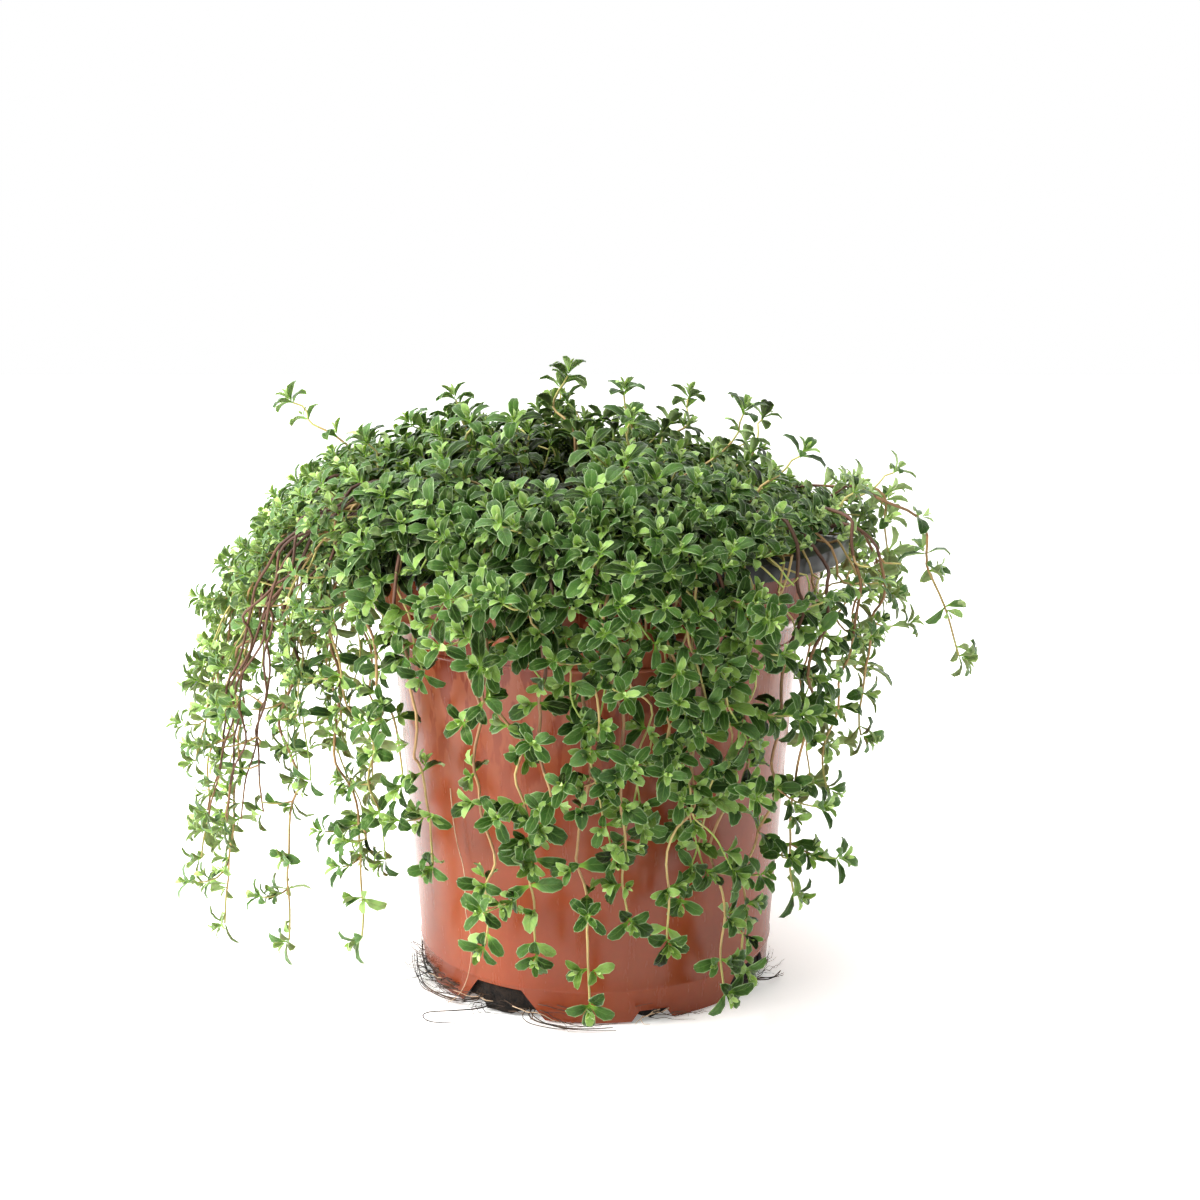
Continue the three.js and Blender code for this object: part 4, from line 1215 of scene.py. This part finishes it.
def tuft_route(i):
    """The route of a short strand, which rises into the cushion."""
    azimuth, root, tip, tip_z = TUFTS[i]
    reach = tip - root
    crest, crest_z = root + TUFT_CREST * reach, SOIL_Z + TUFT_RISE * (tip_z - SOIL_Z)
    rise = crest_z - SOIL_Z
    radii = [(root, 0, crest, 0.9 * reach), (crest, 2.4 * reach, tip, 0.6 * reach)]
    heights = [(SOIL_Z, 1.5 * rise, crest_z, 0.5 * rise), (crest_z, rise, tip_z, 0.5 * (tip_z - crest_z))]
    return route(300 + i, azimuth, 0, TUFT_SWAY, radii, heights)


print("first trail ends at", [round(c, 1) for c in trail_route(0)[-1]], "mm")

# %% [markdown]
# ## Companions
#
# A real strand is never alone. Several thinner stems leave the crown with it, run
# close beside it over the rim and part towards their tips. A companion is the
# main route with a sideways shift that is small at the crest and grows after it.
# How many there are differs round the pot, so that the bare face, the mass in
# front and the wide skirt on the left come out as in the photograph.

# %% Run companions beside a strand
# Up to an azimuth: the number of companions and how far they reach, the share of bare stem, the number of
# shorter strands and how far they reach, the spread, the lean, and the lean for each degree of azimuth.
HABITS = [
    (-58, 6, 0.92, 0.3, 4, 0.5, 24, 0, 0),  # the wide skirt on the left and behind, airy towards its ends
    (-45, 3, 0.8, 0.3, 11, 0.6, 14, -4, 0),  # leaves over the corner of the rim
    (-35, 1, 0.8, 0.5, 12, 0.5, 12, -6, 0),
    (-20, 1, 0.8, 0.62, 8, 0.56, 12, -10, 0),  # the bare face of the pot: strands leafy only near their tips
    (5, 6, 0.7, 0.3, 5, 0.56, 28, 0, 0.3),  # the mass in front, which fans out and is longer on its right
    (25, 9, 0.95, 0.3, 4, 0.52, 30, 0, 0.3),
    (45, 4, 0.85, 0.46, 0, 0.5, 18, -4, 0),  # the lip shows here, so leaves start below it
    (80, 1, 0.85, 0.46, 0, 0.5, 18, -4, 0),
    (112, 1, 0.9, 0.3, 0, 0.44, 12, 0, 0),  # a few strands that arch out by themselves on the right
    (155, 2, 0.9, 0.3, 2, 0.5, 14, 0, 0),
    (180, 4, 1, 0.3, 3, 0.5, 18, 0, 0),
]


def strand_habit(azimuth):
    """The habit of the strands at a place round the pot, up to their lean."""
    azimuth = (azimuth + 180) % 360 - 180
    *habit, lean, fan = next(row[1:] for row in HABITS if azimuth < row[0])
    return *habit, lean + fan * azimuth


def companion(draw, path, share, spread, lift, sideways=0):
    """A route that keeps near another one, then parts from it, and ends at a share of its length."""
    around, away = sideways + draw.uniform(-1, 1) * spread, draw.uniform(-9, 3)
    start, phase, wave = draw.uniform(-5, 5), draw.uniform(0, math.tau), draw.uniform(1, 4.5)
    rise = draw.uniform(-0.3, 1) * lift
    curl, upturn = draw.uniform(-15, 15), draw.uniform(-1, 8)
    if path[-1].x > 40 and path[-1].y < 50:  # on the right the strands hang close to the pot
        away -= 6
    last = round((len(path) - 1) * share)
    made = []
    for i, point in enumerate(path[: last + 1]):
        u = i / (len(path) - 1)
        out = outward(point)
        tangent = UP.cross(out)
        parting = u**1.7
        shift = start * (1 - u) ** 3 + around * parting + wave * math.sin(phase + 7 * u) * min(1, 3 * u)
        end = max(0, i / last - 0.6) ** 2 * 5
        moved = point + tangent * (shift + curl * end) + out * (away * parting)
        moved.z += rise * math.sin(math.pi * min(1, u * 1.2)) + upturn * end
        moved.z = min(moved.z, cushion_top(moved) - 3)
        made.append(freed(moved))
    return made


print("a trail in front has", strand_habit(10)[0], "companions")

# %% [markdown]
# Now the trailing strands can grow. Each gets its main stem on the CAD route, its
# companions, and some shorter stems that hold leaves over the rim. Leaves are a
# little smaller in the skirt on the left. One strand there has the old wood.

# %% Grow the trailing strands
def old_wood(draw):
    """One stem of the bundle, close beside the others."""
    shift = anywhere(draw, 1.7) + UP * draw.uniform(-1.5, 1.5)
    part = polar(draw.uniform(0, 360), 11, draw.uniform(0, 9))
    spots = [polar(*spot) + shift + part * (k / len(OLD_WOOD)) ** 2 for k, spot in enumerate(OLD_WOOD)]
    return [freed(p, 0.8) for p in rounded(spots)]


leaf_finish = [stem_skin, leaf_blade]
trail_faces = 0
for i in range(len(TRAILS)):
    name = f"trail_{i + 1:02d}"
    draw = random.Random(name)
    bm = empty_mesh()
    path = trail_route(i)
    companions, longest, bare, short, cover, spread, lean = strand_habit(TRAILS[i][0])
    size = 7.6 if path[-1].x < -55 else 8.2
    main_stem = [freed(p, MAIN_GAP) for p in path]
    leafy_stem(bm, draw, main_stem, (1.1, 0.55), (0, 0.8), max(0.28, bare), 1.05 * size, 0.6)
    for _ in range(companions):
        share = longest * (1 - 0.55 * draw.random() ** 1.3)
        partner = companion(draw, path, share, spread, 5, lean)
        leafy_stem(bm, draw, partner, (0.85, 0.42), (0.3, 0.95), bare, size, 0.6, gaps=0.3)
    for _ in range(short):
        over_rim = companion(draw, path, draw.uniform(0.34, cover), 42 if path[-1].y < -30 else 30, 7)
        leafy_stem(bm, draw, over_rim, (0.8, 0.42), (0.25, 0.95), 0.35, size, 0.6, 8.6)
    for _ in range(6 if i == WOODY else 0):
        leafy_stem(bm, draw, old_wood(draw), (draw.uniform(0.7, 1.2), 0.5), (0.13, 0.4), 0.74, 7.3, 0.6)
    piece = finished(f"leafy_{name}", bm, leaf_finish, "foliage", [name])
    trail_faces += len(piece.data.polygons)
print("trails:", trail_faces, "faces")

# %% [markdown]
# ## The cushion
#
# On top the shoots stand close together. Each CAD tuft becomes a group: the main
# shoot on its route, and ten more that start near its root and end round its
# tip, some lower, so the cushion has depth and dark gaps between the rosettes.

# %% Grow the cushion
SPRIGS = (0, 1)  # the two shoots that reach far out of the cushion by themselves
SHOOTS, SHOOT_POINTS, ROOT_SPREAD, TIP_SPREAD = 10, 12, 9, 14
LIP_SHOWS = 24  # to the right of this, shoots end inside the rim and over it
INSIDE_RIM, OVER_RIM = 59, 6
cushion_faces = 0
for i in range(len(TUFTS)):
    name = f"tuft_{i + 1:02d}"
    draw = random.Random(name)
    bm = empty_mesh()
    path = tuft_route(i)
    gaps = 1 if i in SPRIGS else 0.2
    main_stem = [freed(p, MAIN_GAP) for p in path]
    leafy_stem(bm, draw, main_stem, (1.1, 0.5), (0.1, 0.9), 0.25, 8.6, 0.7, 9, gaps)
    root, tip = path[0], path[-1]
    for _ in range(SHOOTS):
        start = root + anywhere(draw, ROOT_SPREAD)
        start.z = SOIL_Z - 3
        share = draw.uniform(0.3, 0.65) if i in SPRIGS else 1
        end = root.lerp(tip, share) + anywhere(draw, TIP_SPREAD)
        lowest = 0
        if end.x > LIP_SHOWS:
            end *= min(1, INSIDE_RIM / radius_of(end))
            lowest = POT_HEIGHT + OVER_RIM if end.x > LIP_SHOWS else 0
        end.z = max(cushion_top(end) - draw.uniform(-2, 17), lowest)
        shoot = []
        for k in range(SHOOT_POINTS + 1):
            t = k / SHOOT_POINTS
            point = start.lerp(end, t**1.35)
            point.z = start.z + (end.z - start.z) * (1 - (1 - t) ** 1.7)
            shoot.append(freed(point))
        leafy_stem(bm, draw, shoot, (0.8, 0.42), (0.2, 0.95), 0.3, 8.3, 0.6, 9.2)
    piece = finished(f"leafy_{name}", bm, leaf_finish, "foliage", [name])
    cushion_faces += len(piece.data.polygons)
print("cushion:", cushion_faces, "faces; whole plant:", trail_faces + cushion_faces)
